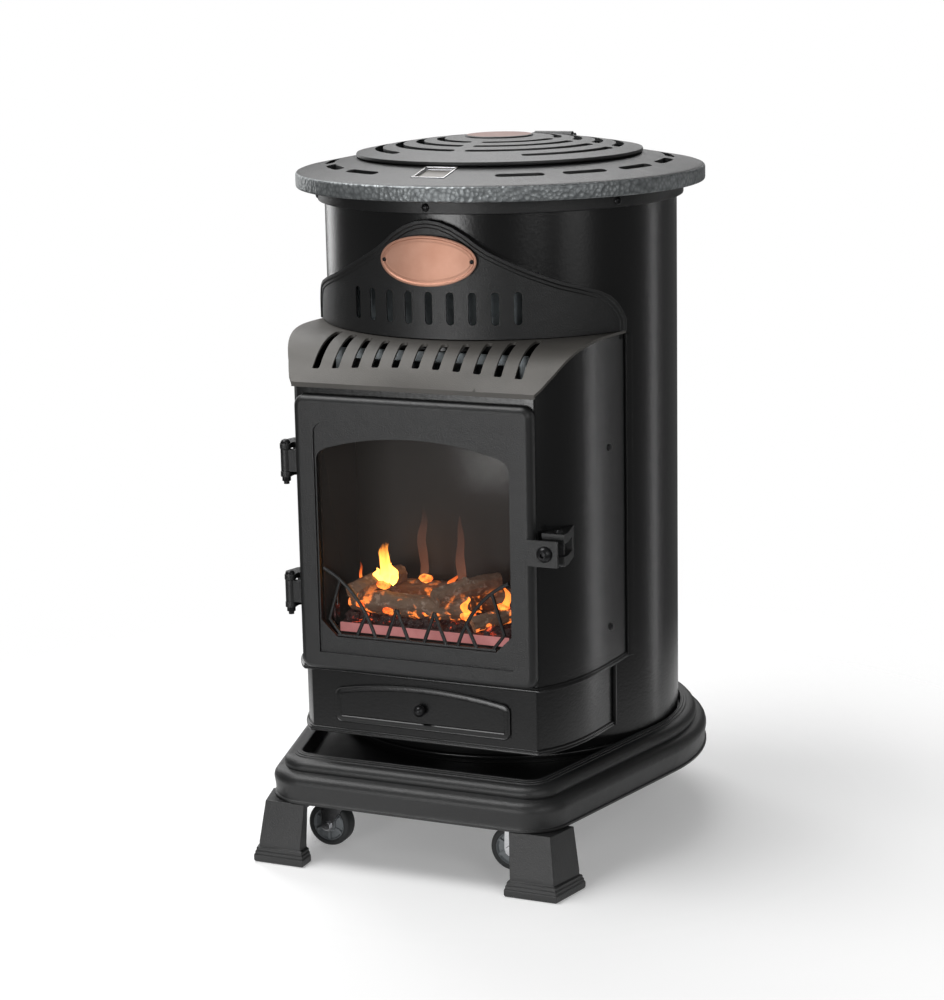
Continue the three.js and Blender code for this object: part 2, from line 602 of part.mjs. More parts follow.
function topPlate() {
  const inside = PLATE_R - PLATE_RIM_WALL;
  const slotZ = [PLATE_RIM_Z[0] + 4.5, LID_EDGE_Z + LID_EDGE];
  let plate = turned([
    [PLATE_WELL_R, coneZ(PLATE_WELL_R)],
    [PLATE_CONE_R - 3, coneZ(PLATE_CONE_R - 3)], [PLATE_R - 1, PLATE_RIM_Z[1] - 1.2],
    [PLATE_R, PLATE_RIM_Z[1] - 4],
    [PLATE_R, PLATE_RIM_Z[0] + 2], [PLATE_R - 2, PLATE_RIM_Z[0]], [COLLAR_R - 8, PLATE_RIM_Z[0]],
    [COLLAR_R - 8, PLATE_RIM_Z[0] + 6], [inside, PLATE_RIM_Z[0] + 8], [inside, coneZ(inside) - PLATE_THICK],
    [PLATE_WELL_R, coneZ(PLATE_WELL_R) - PLATE_THICK],
  ], 48);
  for (const middle of PLATE_SLOT_AZ) {
    for (const side of [-1, 1]) {
      const az0 = side * middle - PLATE_SLOT_SPAN / 2;
      plate = cut(plate, arcSlot(PLATE_SLOT_R, PLATE_SLOT_WIDTH, az0, az0 + PLATE_SLOT_SPAN, ...slotZ));
    }
  }
  plate = cut(plate, fingerSeat(GAP));
  for (const side of [-1, 1]) {
    const x0 = side > 0 ? LID_HINGE.half + GAP : -LID_HINGE.half - GAP - LID_HINGE.lug;
    const low = coneZ(LID_HINGE.y + 8) - 2;
    const lug = join(
      block(x0, x0 + LID_HINGE.lug, LID_HINGE.y - LID_HINGE.knuckle, LID_HINGE.y + LID_HINGE.knuckle,
        low, LID_HINGE.z),
      bar([x0, LID_HINGE.y, LID_HINGE.z], [x0 + LID_HINGE.lug, LID_HINGE.y, LID_HINGE.z], LID_HINGE.knuckle, 20));
    plate = join(plate, lug);
  }
  const reach = LID_HINGE.half + 2 * LID_HINGE.lug;
  const bore = bar([-reach, LID_HINGE.y, LID_HINGE.z], [reach, LID_HINGE.y, LID_HINGE.z], LID_HINGE.pin + RUN, 20);
  return cut(plate, bore);
}
piece('top_plate', topPlate(), CAST);

// bright framed insert let into the plate ahead of the lid, with a finger dip under the lid's edge
{
  const half = FINGER_PLATE.width / 2;
  const long = FINGER_PLATE.length / 2;
  const frameBlock = block(-half, half, -long, long, -FINGER_PLATE.thick, 1);
  const [dipHalf, dipLong] = [half - FINGER_PLATE.rim, long - FINGER_PLATE.rim];
  const dip = block(-dipHalf, dipHalf, -dipLong, dipLong, -2, 2);
  const tilt = Math.atan(PLATE_SLOPE);
  piece('finger_plate', cut(frameBlock, dip), BRIGHT, [0, -FINGER_PLATE.r, coneZ(FINGER_PLATE.r)], [tilt, 0, 0]);
}

// bright deflector sheet seen through the plate's slots
piece('heat_deflector', turned([
  [PLATE_WELL_R, DRUM_TOP + SHEET + GAP], [COLLAR_R - 6.5, DRUM_TOP + SHEET + GAP],
  [COLLAR_R - 6.5, DRUM_TOP + 2 * SHEET + GAP], [PLATE_WELL_R, DRUM_TOP + 2 * SHEET + GAP],
], 40), GALVANISED);

// ---------- lid ----------
const domeZ = (r, top = LID_TOP - 1) => top - (LID_TOP - LID_EDGE_Z - LID_EDGE) * (r / LID_R) ** 2;

function lid() {
  const profile = [];
  const DOME_STEPS = 2;
  for (let i = 0; i <= DOME_STEPS; i += 1) {
    const r = (LID_R - 1.5) * (i / DOME_STEPS);
    profile.push([r, domeZ(r)]);
  }
  profile.push([LID_R, LID_EDGE_Z + LID_EDGE - 1.5], [LID_R, LID_EDGE_Z + 1], [LID_R - 1, LID_EDGE_Z]);
  profile.push([LID_R - 12, LID_EDGE_Z]);
  for (let i = DOME_STEPS; i >= 0; i -= 1) {
    const r = (LID_R - 13) * (i / DOME_STEPS);
    profile.push([r, domeZ(r, LID_TOP - 1 - LID_THICK)]);
  }
  let body = turned(profile, 36);
  const slotZ = [LID_EDGE_Z - 10, LID_TOP + 10];
  LID_SLOT_R.forEach((r) => {
    const rib = THREE.MathUtils.radToDeg(Math.asin(LID_RIB / 2 / r));
    const chord = r > LID_CHORD ? THREE.MathUtils.radToDeg(Math.acos(LID_CHORD / r)) : 0;
    const low = Math.max(rib, chord);
    const quarters = [[low, 90 - rib], [90 + rib, 180 - low - rib / 2]];
    for (const [a, b] of quarters) {
      for (const side of [-1, 1]) {
        const [az0, az1] = side > 0 ? [a, b] : [-b, -a];
        body = cut(body, sector(r - LID_SLOT_WIDTH / 2, r + LID_SLOT_WIDTH / 2, az0, az1, ...slotZ, 3));
      }
    }
  });
  const { y, z, pin, knuckle, half } = LID_HINGE;
  const arm = block(-half, half, LID_R - 8, y, LID_EDGE_Z + 0.5, z + 2);
  const barrel = bar([-half, y, z], [half, y, z], knuckle, 20);
  const bore = bar([-half - 1, y, z], [half + 1, y, z], pin + RUN, 20);
  const boss = bar([0, 0, LID_TOP - 4], [0, 0, LID_TOP], LID_BOSS_R, 24);
  return join(cut(join(body, arm, barrel), bore), boss);
}
piece('lid', lid(), CAST);

{
  const { y, z, pin, half, lug } = LID_HINGE;
  const reach = half + lug + 2;
  const shaft = bar([-reach, y, z], [reach, y, z], pin, 20);
  const heads = [bar([-reach - 2, y, z], [-reach, y, z], 4.2, 20), bar([reach, y, z], [reach + 2, y, z], 4.2, 20)];
  piece('lid_hinge_pin', join(shaft, ...heads), BLACK_STEEL);
}

// ---------- controls under the lid ----------
{
  const flangeZ = coneZ(PLATE_WELL_R + 7) - PLATE_THICK - GAP;
  const pan = turned([
    [0, PAN_FLOOR], [PAN_R + SHEET, PAN_FLOOR], [PAN_R + SHEET, flangeZ - SHEET],
    [PLATE_WELL_R + 7, flangeZ - SHEET],
    [PLATE_WELL_R + 7, flangeZ], [PAN_R, flangeZ], [PAN_R, PAN_FLOOR + SHEET], [0, PAN_FLOOR + SHEET],
  ], 30);
  const holes = [KNOB, BUTTON].map(({ x, y }) => bar([x, y, PAN_FLOOR - 1], [x, y, PAN_FLOOR + 3], 6, 20));
  piece('control_pan', cut(pan, ...holes), GALVANISED);
}
{
  const base = PAN_FLOOR + SHEET + 1;
  const stemTop = base + 4 + KNOB.height - 5;
  const valve = join(
    block(KNOB.x - 34, KNOB.x + 34, KNOB.y - 14, KNOB.y + 14, VALVE_Z[0], VALVE_Z[1]),
    bar([KNOB.x, KNOB.y, VALVE_Z[1] - 2], [KNOB.x, KNOB.y, stemTop], 4, 20),
    bar([KNOB.x - 20, KNOB.y, VALVE_Z[1] - 1], [KNOB.x - 20, KNOB.y, PAN_FLOOR - GAP], 5, 16),
    bar([KNOB.x + 20, KNOB.y, VALVE_Z[1] - 1], [KNOB.x + 20, KNOB.y, PAN_FLOOR - GAP], 5, 16));
  piece('gas_valve', valve, BRASS);
  const skirt = bar([KNOB.x, KNOB.y, base], [KNOB.x, KNOB.y, base + 5], KNOB.r, 32, KNOB.r - 1);
  const grip = bar([KNOB.x, KNOB.y, base + 4], [KNOB.x, KNOB.y, base + KNOB.height], KNOB.r - 4, 32, KNOB.r - 5);
  const ridge = block(KNOB.x - 2.5, KNOB.x + 2.5, KNOB.y - KNOB.r + 2, KNOB.y + KNOB.r - 2, base + 4,
    base + KNOB.height + 2);
  const bore = bar([KNOB.x, KNOB.y, base - 1], [KNOB.x, KNOB.y, stemTop + GAP], 4 + RUN, 20);
  piece('control_knob', cut(join(skirt, grip, ridge), bore), PLASTIC);
}
{
  const { x, y, r, height } = BUTTON;
  const TRAVEL = 4;
  const rimTop = PAN_FLOOR + SHEET + 5;
  const body = join(
    bar([x, y, VALVE_Z[0]], [x, y, PAN_FLOOR - GAP], 10, 16),
    bar([x, y, PAN_FLOOR - 1], [x, y, PAN_FLOOR + SHEET + GAP + 0.5], 5.8, 16),
    bar([x, y, PAN_FLOOR + SHEET + GAP], [x, y, rimTop], r + 3, 24));
  const well = bar([x, y, PAN_FLOOR + SHEET + GAP + 1], [x, y, rimTop + 1], r + 0.3, 24);
  piece('igniter_body', cut(body, well), PLASTIC);
  const seat = PAN_FLOOR + SHEET + GAP + 1 + TRAVEL + 0.5;
  piece('igniter_button', bar([x, y, seat], [x, y, seat + height], r, 24, r - 0.6), finish(0x8a1c16, 0.4, 0));
}
{
  const { x, y } = KNOB;
  const z = (VALVE_Z[0] + VALVE_Z[1]) / 2;
  const back = y + 14 + GAP;
  const nozzle = join(
    bar([x, back, z], [x, back + 8, z], 8, 6),
    bar([x, back + 7, z], [x, back + 34, z], 4.2, 12),
    ...[0, 1, 2].map((i) => bar([x, back + 14 + 7 * i, z], [x, back + 19 + 7 * i, z], 5.4, 12, 4.2)));
  const bore = bar([x, back + 6, z], [x, back + 40, z], 2.4, 10);
  piece('gas_inlet_nozzle', cut(nozzle, bore), BRASS);
}

// ---------- upper front casting ----------
// the outline in front view; x is the distance across, so it follows the drum when cut from a curved wall
function ogee(inset, low) {
  const shape = new THREE.Shape();
  const shoulder = OGEE.at(-3)[0] + GAP;
  const top = OGEE.map(([x, z]) => [x - (x > shoulder ? inset : 0), z - inset]);
  const curve = new THREE.SplineCurve(top.map(([x, z]) => new THREE.Vector2(x, z)));
  const right = curve.getPoints(12);
  shape.moveTo(-right.at(-1).x, low);
  shape.lineTo(right.at(-1).x, low);
  [...right].reverse().forEach((p) => shape.lineTo(p.x, p.y));
  right.slice(1).forEach((p) => shape.lineTo(-p.x, p.y));
  shape.closePath();
  return shape;
}

function bib() {
  const bibTop = OGEE[0][1] + GAP;
  const wall = sector(BIB_BACK_R, BIB_R, -64, 64, BIB_BOTTOM, bibTop, 12);
  const body = wall.intersect(across(ogee(0, BIB_BOTTOM), -BIB_R - 5, 0));
  const hollowWall = sector(BIB_BACK_R - 5, BIB_R - BIB_THICK, -70, 70, BIB_BOTTOM - 5, bibTop, 13);
  const hollow = hollowWall.intersect(across(ogee(BIB_RIM, BIB_BOTTOM - 5), -BIB_R - 5, 0));
  let panel = cut(body, hollow);
  for (let i = 0; i < BIB_SLOTS.count; i += 1) {
    const azimuth = (i - (BIB_SLOTS.count - 1) / 2) * BIB_SLOTS.pitch;
    const half = BIB_SLOTS.width / 2;
    const outline = roundedBox(-half, half, BIB_SLOTS.low, BIB_SLOTS.high, half - 0.2);
    const slot = across(outline, -BIB_R - 4, -BIB_R + 12, 1);
    panel = cut(panel, slot.rotate([0, 0, azimuth]));
  }
  return panel;
}
piece('upper_front_casting', bib(), CAST);

{
  const oval = new THREE.Shape();
  oval.absellipse(0, BADGE.z, BADGE.half, BADGE.rise, 0, 2 * Math.PI, false, 0);
  const inner = new THREE.Shape();
  inner.absellipse(0, BADGE.z, BADGE.half - 4, BADGE.rise - 4, 0, 2 * Math.PI, false, 0);
  const skin = (r0, r1) => sector(r0, r1, -20, 20, BADGE.z - 40, BADGE.z + 40, 8);
  const low = BIB_R + GAP;
  const rim = skin(low, low + BADGE.thick + 1).intersect(across(oval, -BIB_R - 30, -BIB_R + 50, 7));
  const dish = skin(low + BADGE.thick, low + BADGE.thick + 3).intersect(across(inner, -BIB_R - 30, -BIB_R + 50, 7));
  piece('badge_plate', cut(rim, dish), COPPER);
}

// grey sheet behind the slots, with flanges that reach the drum
{
  const { az, below, above, set } = BAFFLE;
  const z = [VENT_WINDOW.low - below, VENT_WINDOW.high + above];
  const back = DRUM_IN - set;
  const baffle = sector(back, back + SHEET, -az, az, ...z, 7);
  const flanges = [-az, az - 0.5].map((a) => sector(back, DRUM_IN - GAP, a, a + 0.5, ...z, 2));
  piece('convection_baffle', join(baffle, ...flanges), GALVANISED);
}

// ---------- firebox casing ----------
// plan of the casing's side, from the front corner back to the drum
function sideCurve(inset = 0) {
  return new THREE.CubicBezierCurve(
    new THREE.Vector2(CASE_HALF - inset, -CASE_FRONT + inset + 3),
    new THREE.Vector2(CASE_HALF + 27 - inset, -CASE_FRONT + 35),
    new THREE.Vector2(SIDE_END[0] - 8 - inset, SIDE_END[1] - 70),
    new THREE.Vector2(SIDE_END[0] - 4 - inset, SIDE_END[1] + 12));
}

function casePlan(inset, frontInset = inset) {
  const side = sideCurve(inset).getPoints(8).map((p) => [p.x, p.y]);
  const front = -CASE_FRONT + frontInset;
  const right = [[CASE_HALF - inset - 3, front], ...side.map(([x, y]) => [x, Math.max(y, front + 0.01)])];
  const left = right.map(([x, y]) => [-x, y]).reverse();
  return polygon([...left, ...right]);
}

const CORE_SIDES = 72;
const core = (radius, z0, z1) => bar([0, 0, z0], [0, 0, z1], radius / Math.cos(Math.PI / CORE_SIDES), CORE_SIDES);
const drumCore = (clear, z0, z1) => core(DRUM_R + clear, z0, z1);

// the hood's top surface: it falls from the upper casting's curved foot to a straight lip
function hoodPoint(u, v, drop, grow) {
  const edge = sideCurve(-1.2 - grow);
  const end = edge.getPoint(1);
  const [bx, by] = polar(end.length(), u * THREE.MathUtils.radToDeg(Math.atan2(end.x, -end.y)));
  const lip = new THREE.Vector2(CASE_HALF + 1.2 + grow, -HOOD_LIP_Y);
  const side = edge.getPoint(v);
  side.y = Math.min(side.y, lip.y + (end.y - lip.y) * v);
  side.x += HOOD_FULLER.out * Math.sin(Math.PI * Math.sqrt(v));
  const share = Math.abs(u) ** 2;
  const straight = lip.clone().lerp(end, v);
  const x = lip.x * u * (1 - v) + bx * v + (side.x - straight.x) * u * Math.abs(u);
  const y = lip.y * (1 - v) + by * v + (side.y - straight.y) * share;
  const rise = 1 - (1 - v) ** (HOOD_SHAPE + HOOD_FULLER.shape * share);
  const crown = HOOD_FULLER.rise * share * Math.sin(Math.PI * v);
  return [x, y, HOOD_LIP_Z + (HOOD_TOP_Z - HOOD_LIP_Z) * rise + crown - drop];
}

function hoodSkin(top, bottom, grow = 0) {
  const COLUMNS = 12;
  const ROWS = 4;
  const position = [];
  for (const drop of [top, bottom]) {
    for (let j = 0; j <= ROWS; j += 1) {
      for (let i = 0; i <= COLUMNS; i += 1) {
        position.push(...hoodPoint(-1 + (2 * i) / COLUMNS, j / ROWS, drop, grow));
      }
    }
  }
  const at = (layer, i, j) => layer * (ROWS + 1) * (COLUMNS + 1) + j * (COLUMNS + 1) + i;
  const faces = [];
  const quad = (a, b, c, d) => faces.push(a, b, c, a, c, d);
  for (let j = 0; j < ROWS; j += 1) {
    for (let i = 0; i < COLUMNS; i += 1) {
      quad(at(0, i, j), at(0, i + 1, j), at(0, i + 1, j + 1), at(0, i, j + 1));
      quad(at(1, i, j), at(1, i, j + 1), at(1, i + 1, j + 1), at(1, i + 1, j));
    }
  }
  for (let i = 0; i < COLUMNS; i += 1) {
    quad(at(1, i, 0), at(1, i + 1, 0), at(0, i + 1, 0), at(0, i, 0));
    quad(at(0, i, ROWS), at(0, i + 1, ROWS), at(1, i + 1, ROWS), at(1, i, ROWS));
  }
  for (let j = 0; j < ROWS; j += 1) {
    quad(at(1, 0, j + 1), at(1, 0, j), at(0, 0, j), at(0, 0, j + 1));
    quad(at(1, COLUMNS, j), at(1, COLUMNS, j + 1), at(0, COLUMNS, j + 1), at(0, COLUMNS, j));
  }
  const geometry = new THREE.BufferGeometry();
  geometry.setAttribute('position', new THREE.Float32BufferAttribute(position, 3));
  geometry.setIndex(faces);
  return solid(geometry);
}

function hood() {
  const skin = hoodSkin(0, HOOD_THICK);
  const lip = block(-CASE_HALF - 1.2, CASE_HALF + 1.2, -HOOD_LIP_Y, -HOOD_LIP_Y + 3, HOOD_LIP_Z - HOOD_LIP_DROP,
    HOOD_LIP_Z - 1);
  let body = join(skin, lip);
  const half = HOOD_SLOTS.width / 2;
  for (let i = 0; i < HOOD_SLOTS.count; i += 1) {
    const x = (i - (HOOD_SLOTS.count - 1) / 2) * HOOD_SLOTS.pitch;
    const back = Math.sqrt((BIB_R + 7) ** 2 - x * x);
    body = cut(body, block(x - half, x + half, -HOOD_SLOTS.front, -back, HOOD_LIP_Z - 27, HOOD_TOP_Z + 30));
  }
  return cut(body, drumCore(GAP, HOOD_LIP_Z - 27, HOOD_TOP_Z + 30));
}
piece('louvred_hood', hood(), HOOD_FINISH);

const aboveHood = [0, 5].map((grow) => hoodSkin(-60, HOOD_THICK + GAP, grow));

function firebox() {
  const low = CASE_FLANGE_Z[0];
  const above = HOOD_TOP_Z + 50;
  const outer = raised(casePlan(0), low, HOOD_TOP_Z, 12);
  const inner = raised(casePlan(CASE_WALL), low - 5, HOOD_TOP_Z + 5, 12);
  const flange = cut(raised(casePlan(-CASE_FLANGE), low, CASE_FLANGE_Z[1], 12), inner);
  const lipZone = block(-200, 200, -HOOD_LIP_Y - 5, -HOOD_LIP_Y + 3 + GAP,
    HOOD_LIP_Z - HOOD_LIP_DROP - GAP, above);
  const shell = join(cut(outer, inner), flange);
  const trimmed = cut(shell, ...aboveHood, lipZone, drumCore(GAP, low - 5, BIB_BOTTOM - GAP),
    core(BIB_R + GAP, BIB_BOTTOM - GAP - 1, above),
    block(-200, 200, -100, 200, HOOD_TOP_Z - 8, above));
  const { half, low: z0, high: z1 } = CASE_OPENING;
  return cut(trimmed, block(-half, half, -CASE_FRONT - 5, -CASE_FRONT + CASE_WALL + 3, z0, z1));
}
piece('firebox_casing', firebox(), ENAMEL);

// ---------- plinth with its dummy drawer ----------
function plinth() {
  const [low, high] = PLINTH_Z;
  const behind = (y) => block(-200, 200, y, 0, low - 10, high + 10);
  const outer = cut(raised(casePlan(PLINTH_INSET), low, high, 12), behind(PLINTH_END));
  const room = raised(casePlan(PLINTH_INSET + CASE_WALL), low - 5, high + 5, 12);
  const inner = cut(room, behind(PLINTH_END - CASE_WALL));
  const lip = cut(raised(casePlan(PLINTH_INSET - 2), low, low + PLINTH_LIP, 12), inner, behind(PLINTH_END + 2));
  const trimmed = cut(join(cut(outer, inner), lip), drumCore(GAP, low - 5, high + 5));
  const arch = (grow) => {
    const shape = new THREE.Shape();
    const { half, low: z0, high: z1, rise } = DRAWER;
    shape.moveTo(-half - grow, z0 - grow);
    shape.lineTo(half + grow, z0 - grow);
    shape.lineTo(half + grow, z1 + grow);
    shape.quadraticCurveTo(half * 0.5, z1 + rise + grow, 0, z1 + rise + grow);
    shape.quadraticCurveTo(-half * 0.5, z1 + rise + grow, -half - grow, z1 + grow);
    shape.closePath();
    return shape;
  };
  const front = -CASE_FRONT + PLINTH_INSET;
  const raisedField = across(arch(0), front - DRAWER.depth, front + 1, 8);
  const border = cut(across(arch(DRAWER.border), front - DRAWER.depth / 2, front + 1, 8),
    across(arch(DRAWER.border - 2.5), front - 5, front + 2, 8));
  return join(trimmed, raisedField, border);
}
piece('plinth_casing', plinth(), ENAMEL);

{
  const front = -CASE_FRONT + PLINTH_INSET - DRAWER.depth - GAP;
  const z = (DRAWER.low + DRAWER.high + DRAWER.rise) / 2;
  const ball = new THREE.SphereGeometry(KNOB_R, 12, 7);
  ball.translate(0, front - KNOB_R - 2, z);
  piece('drawer_knob', join(solid(ball), bar([0, front, z], [0, front - 6, z], 3.2, 16)), BLACK_STEEL);
}

// ---------- door ----------
function archShape({ half, low, shoulder, top }, grow = 0, chamfer = 0) {
  const shape = new THREE.Shape();
  const [x, z0, z1, z2] = [half + grow, low - grow, shoulder + grow, top + grow];
  const corner = 16;
  shape.moveTo(-x + chamfer, z0);
  shape.lineTo(x - chamfer, z0);
  if (chamfer) shape.lineTo(x, z0 + chamfer);
  shape.lineTo(x, z1 - 4);
  shape.quadraticCurveTo(x, z1 + 6, x - corner, z1 + 10);
  shape.quadraticCurveTo(x * 0.45, z2, 0, z2);
  shape.quadraticCurveTo(-x * 0.45, z2, -x + corner, z1 + 10);
  shape.quadraticCurveTo(-x, z1 + 6, -x, z1 - 4);
  if (chamfer) shape.lineTo(-x, z0 + chamfer);
  shape.closePath();
  return shape;
}

const REBATE_DEPTH = SEAL_THICK + GLASS_THICK + 2 * GAP;
const rebateFront = -DOOR_BACK - REBATE_DEPTH;

function doorCasting() {
  const slab = roundedBox(-DOOR_HALF, DOOR_HALF, DOOR_Z[0], DOOR_Z[1], DOOR_CORNER);
  const bevelled = across(slab, -DOOR_FRONT, -DOOR_BACK + DOOR_BEVEL, 3, DOOR_BEVEL);
  let door = cut(bevelled, block(-200, 200, -DOOR_BACK, -DOOR_BACK + 20, DOOR_Z[0] - 50, DOOR_Z[1] + 50));
  door = cut(door,
    across(archShape(PANEL), -DOOR_FRONT - 1, -DOOR_FRONT + PANEL.depth, 4),
    across(archShape(OPENING, 0, OPENING.chamfer), -DOOR_FRONT - 1, -DOOR_BACK + 1, 4),
    across(archShape(OPENING, REBATE), rebateFront, -DOOR_BACK + 1, 4));
  for (const z of HINGE_Z) {
    const [z0, z1] = [z - HINGE_KNUCKLE / 2, z + HINGE_KNUCKLE / 2];
    const arm = block(-HINGE_X, -DOOR_HALF + 5, -HINGE_Y - 3, -HINGE_Y + 3, z0, z1);
    door = join(door, arm, bar([-HINGE_X, -HINGE_Y, z0], [-HINGE_X, -HINGE_Y, z1], HINGE_KNUCKLE_R, 20));
    door = cut(door, bar([-HINGE_X, -HINGE_Y, z0 - 1], [-HINGE_X, -HINGE_Y, z1 + 1], HINGE_PIN_R + RUN, 20));
  }
  const { x, z, half, thick, front } = LATCH;
  const lug = block(DOOR_HALF - 6, x + half, -front + 2, -front + 2 + thick, z - half, z + half);
  const neck = block(DOOR_HALF - 6, DOOR_HALF, -front + 2, -DOOR_FRONT + 3, z - half, z + half);
  const hole = bar([x, -front - 5, z], [x, -front + 10, z], 4 + RUN, 20);
  return cut(join(door, lug, neck), hole);
}
piece('door_casting', doorCasting(), CAST);

{
  const gap = GAP;
  const ring = (outerGrow, innerGrow, y0, y1) => cut(
    across(archShape(OPENING, outerGrow), y0, y1, 4), across(archShape(OPENING, innerGrow), y0 - 1, y1 + 1, 4));
  const sealY = rebateFront + gap / 2;
  const glassY = sealY + SEAL_THICK + gap / 2;
  piece('door_glass', across(archShape(OPENING, REBATE - 1), glassY, glassY + GLASS_THICK, 4), GLASS);
  const retainerY = glassY + GLASS_THICK + gap;
  piece('glass_retainer', ring(REBATE - 1, 0, retainerY, retainerY + RETAINER_THICK), LINER_STEEL);
}

// wrought pattern of the log guard: two big arcs, pointed arches between them, and side struts
function logGuard() {
  const y = -DOOR_FRONT + PANEL.depth + GUARD_BAR / 2 + 0.6;
  const { half, low: sill, chamfer } = OPENING;
  const { arc, peak, strut, knee } = GUARD;
  const floor = sill + GAP + GUARD_BAR / 2;
  const rod = ([x0, z0], [x1, z1]) => bar([x0, y, z0], [x1, y, z1], GUARD_BAR / 2, 4);
  const curve = new THREE.QuadraticBezierCurve(
    new THREE.Vector2(half - GAP - 3, sill + arc.rise), new THREE.Vector2(half - arc.bend[0], sill + arc.bend[1]),
    new THREE.Vector2(half - arc.foot, floor)).getPoints(4);
  const sides = [-1, 1].flatMap((s) => {
    const big = curve.slice(1).map((p, i) => rod([s * curve[i].x, curve[i].y], [s * p.x, p.y]));
    const onArc = (i) => [s * curve[i].x, curve[i].y];
    const middle = half - peak.in;
    const top = [s * middle, sill + peak.rise];
    const bend = [s * (half - knee.in), sill + knee.rise];
    return [
      ...big,
      rod(top, [s * (middle - peak.spread), floor]), rod(top, [s * (middle + peak.spread), floor]),
      rod(onArc(3), [s * (half - strut), floor]), rod(onArc(1), bend), rod(bend, [s * (half - knee.foot), floor]),
    ];
  });
  const rail = block(-half + chamfer + GAP, half - chamfer - GAP,
    y - GUARD_BAR / 2, y + GUARD_BAR / 2, floor - GUARD_BAR / 2, floor + 1);
  return join(rail, ...sides);
}
piece('log_guard', logGuard(), CAST);

// fixed hinge brackets on the casing's left side, each with a bolt for the door's knuckle
HINGE_Z.forEach((z, i) => {
  const where = ['upper', 'lower'][i];
  const [kz0, kz1] = [z - HINGE_KNUCKLE / 2 - GAP, z + HINGE_KNUCKLE / 2 + GAP];
  const arm = polygon([
    [-HINGE_X - HINGE_KNUCKLE_R, -HINGE_Y], [-HINGE_X + HINGE_KNUCKLE_R, -HINGE_Y],
    [-HINGE_X + HINGE_KNUCKLE_R, -CASE_FRONT + 3], [-CASE_HALF + 2, -CASE_FRONT + 10],
    [-CASE_HALF - 18, -CASE_FRONT + 24], [-HINGE_X - HINGE_KNUCKLE_R - 6, -CASE_FRONT + 6],
  ]);
  const lugs = [[kz0 - HINGE_LUG, kz0], [kz1, kz1 + HINGE_LUG]].map(([z0, z1]) => join(
    raised(arm, z0, z1), bar([-HINGE_X, -HINGE_Y, z0], [-HINGE_X, -HINGE_Y, z1], HINGE_KNUCKLE_R + 0.6, 20)));
  const back = raised(polygon([
    [-CASE_HALF + 2, -CASE_FRONT + 10], [-CASE_HALF - 18, -CASE_FRONT + 24], [-CASE_HALF - 14, -CASE_FRONT + 28],
    [-CASE_HALF + 8, -CASE_FRONT + 12],
  ]), kz0 - HINGE_LUG, kz1 + HINGE_LUG);
  const caseSolid = raised(casePlan(-GAP), DOOR_Z[0] - 50, DOOR_Z[1] + 50, 12);
  const bore = bar([-HINGE_X, -HINGE_Y, kz0 - 20], [-HINGE_X, -HINGE_Y, kz1 + 20], HINGE_PIN_R + RUN, 20);
  piece(`door_hinge_bracket_${where}`, cut(join(...lugs, back), caseSolid, bore), CAST);
  const [low, high] = [kz0 - HINGE_LUG, kz1 + HINGE_LUG];
  const bolt = join(
    bar([-HINGE_X, -HINGE_Y, low - 8], [-HINGE_X, -HINGE_Y, high + 1], HINGE_PIN_R, 20),
    bar([-HINGE_X, -HINGE_Y, low - 5], [-HINGE_X, -HINGE_Y, low - GAP], 4.8, 6),
    bar([-HINGE_X, -HINGE_Y, high + GAP], [-HINGE_X, -HINGE_Y, high + 3.4], 5.4, 20, 3));
  piece(`door_hinge_bolt_${where}`, bolt, BLACK_STEEL);
});

// latch: a forked bracket on the casing, a barrel nut on a pin between the prongs, and the door's screw
{
  const { x, z } = LATCH;
  const prongPlan = polygon([
    [x - 8, -PRONG.front], [x + 17, -PRONG.front], [x + 17, -PRONG.front + 12], [x + 9, -CASE_FRONT + 50],
    [x + 2, -CASE_FRONT + 50],
  ]);
  const caseSolid = raised(casePlan(-GAP), DOOR_Z[0] - 50, DOOR_Z[1] + 50, 12);
  const prongs = [1, -1].map((s) => {
    const middle = z + 2 + s * PRONG.offset;
    return raised(prongPlan, middle - PRONG.thick / 2, middle + PRONG.thick / 2);
  });
  const bridge = raised(polygon([
    [x + 2, -CASE_FRONT + 50], [x + 9, -CASE_FRONT + 50], [x + 12, -CASE_FRONT + 34], [x + 4, -CASE_FRONT + 30],
  ]), z + 2 - PRONG.offset, z + 2 + PRONG.offset);
  const pinX = x + 8;
  const pinY = -PRONG.front + 8;
  const low = z + 2 - PRONG.offset - PRONG.thick / 2;
  const high = z + 2 + PRONG.offset + PRONG.thick / 2;
  const pinHole = bar([pinX, pinY, low - 5], [pinX, pinY, high + 5], HINGE_PIN_R + RUN, 20);
  piece('latch_bracket', cut(join(...prongs, bridge), caseSolid, pinHole), CAST);
  const barrel = join(
    bar([pinX, pinY, low - 3], [pinX, pinY, high + GAP + 0.5], HINGE_PIN_R, 20),
    bar([pinX, pinY, high + GAP], [pinX, pinY, high + 3.2], 5, 20, 3),
    bar([pinX, pinY, z + 2 - PRONG.offset + PRONG.thick / 2 + GAP],
      [pinX, pinY, z + 2 + PRONG.offset - PRONG.thick / 2 - GAP], 6, 20));
  piece('latch_pin', barrel, BLACK_STEEL);
  const face = -LATCH.front + 2 - GAP;
  const cap = cut(solid(new THREE.SphereGeometry(LATCH.screw, 16, 10)), block(-20, 20, 0, 20, -20, 20))
    .scale([1, 0.75, 1]).translate([x, face, z]);
  const shank = bar([x, face - 1, z], [x, -LATCH.front + 2 + LATCH.thick + 5, z], 4, 20);
  const socket = bar([x, face - 20, z], [x, face - 3, z], 3, 6);
  piece('latch_screw', cut(join(cap, shank), socket), BLACK_STEEL);
}

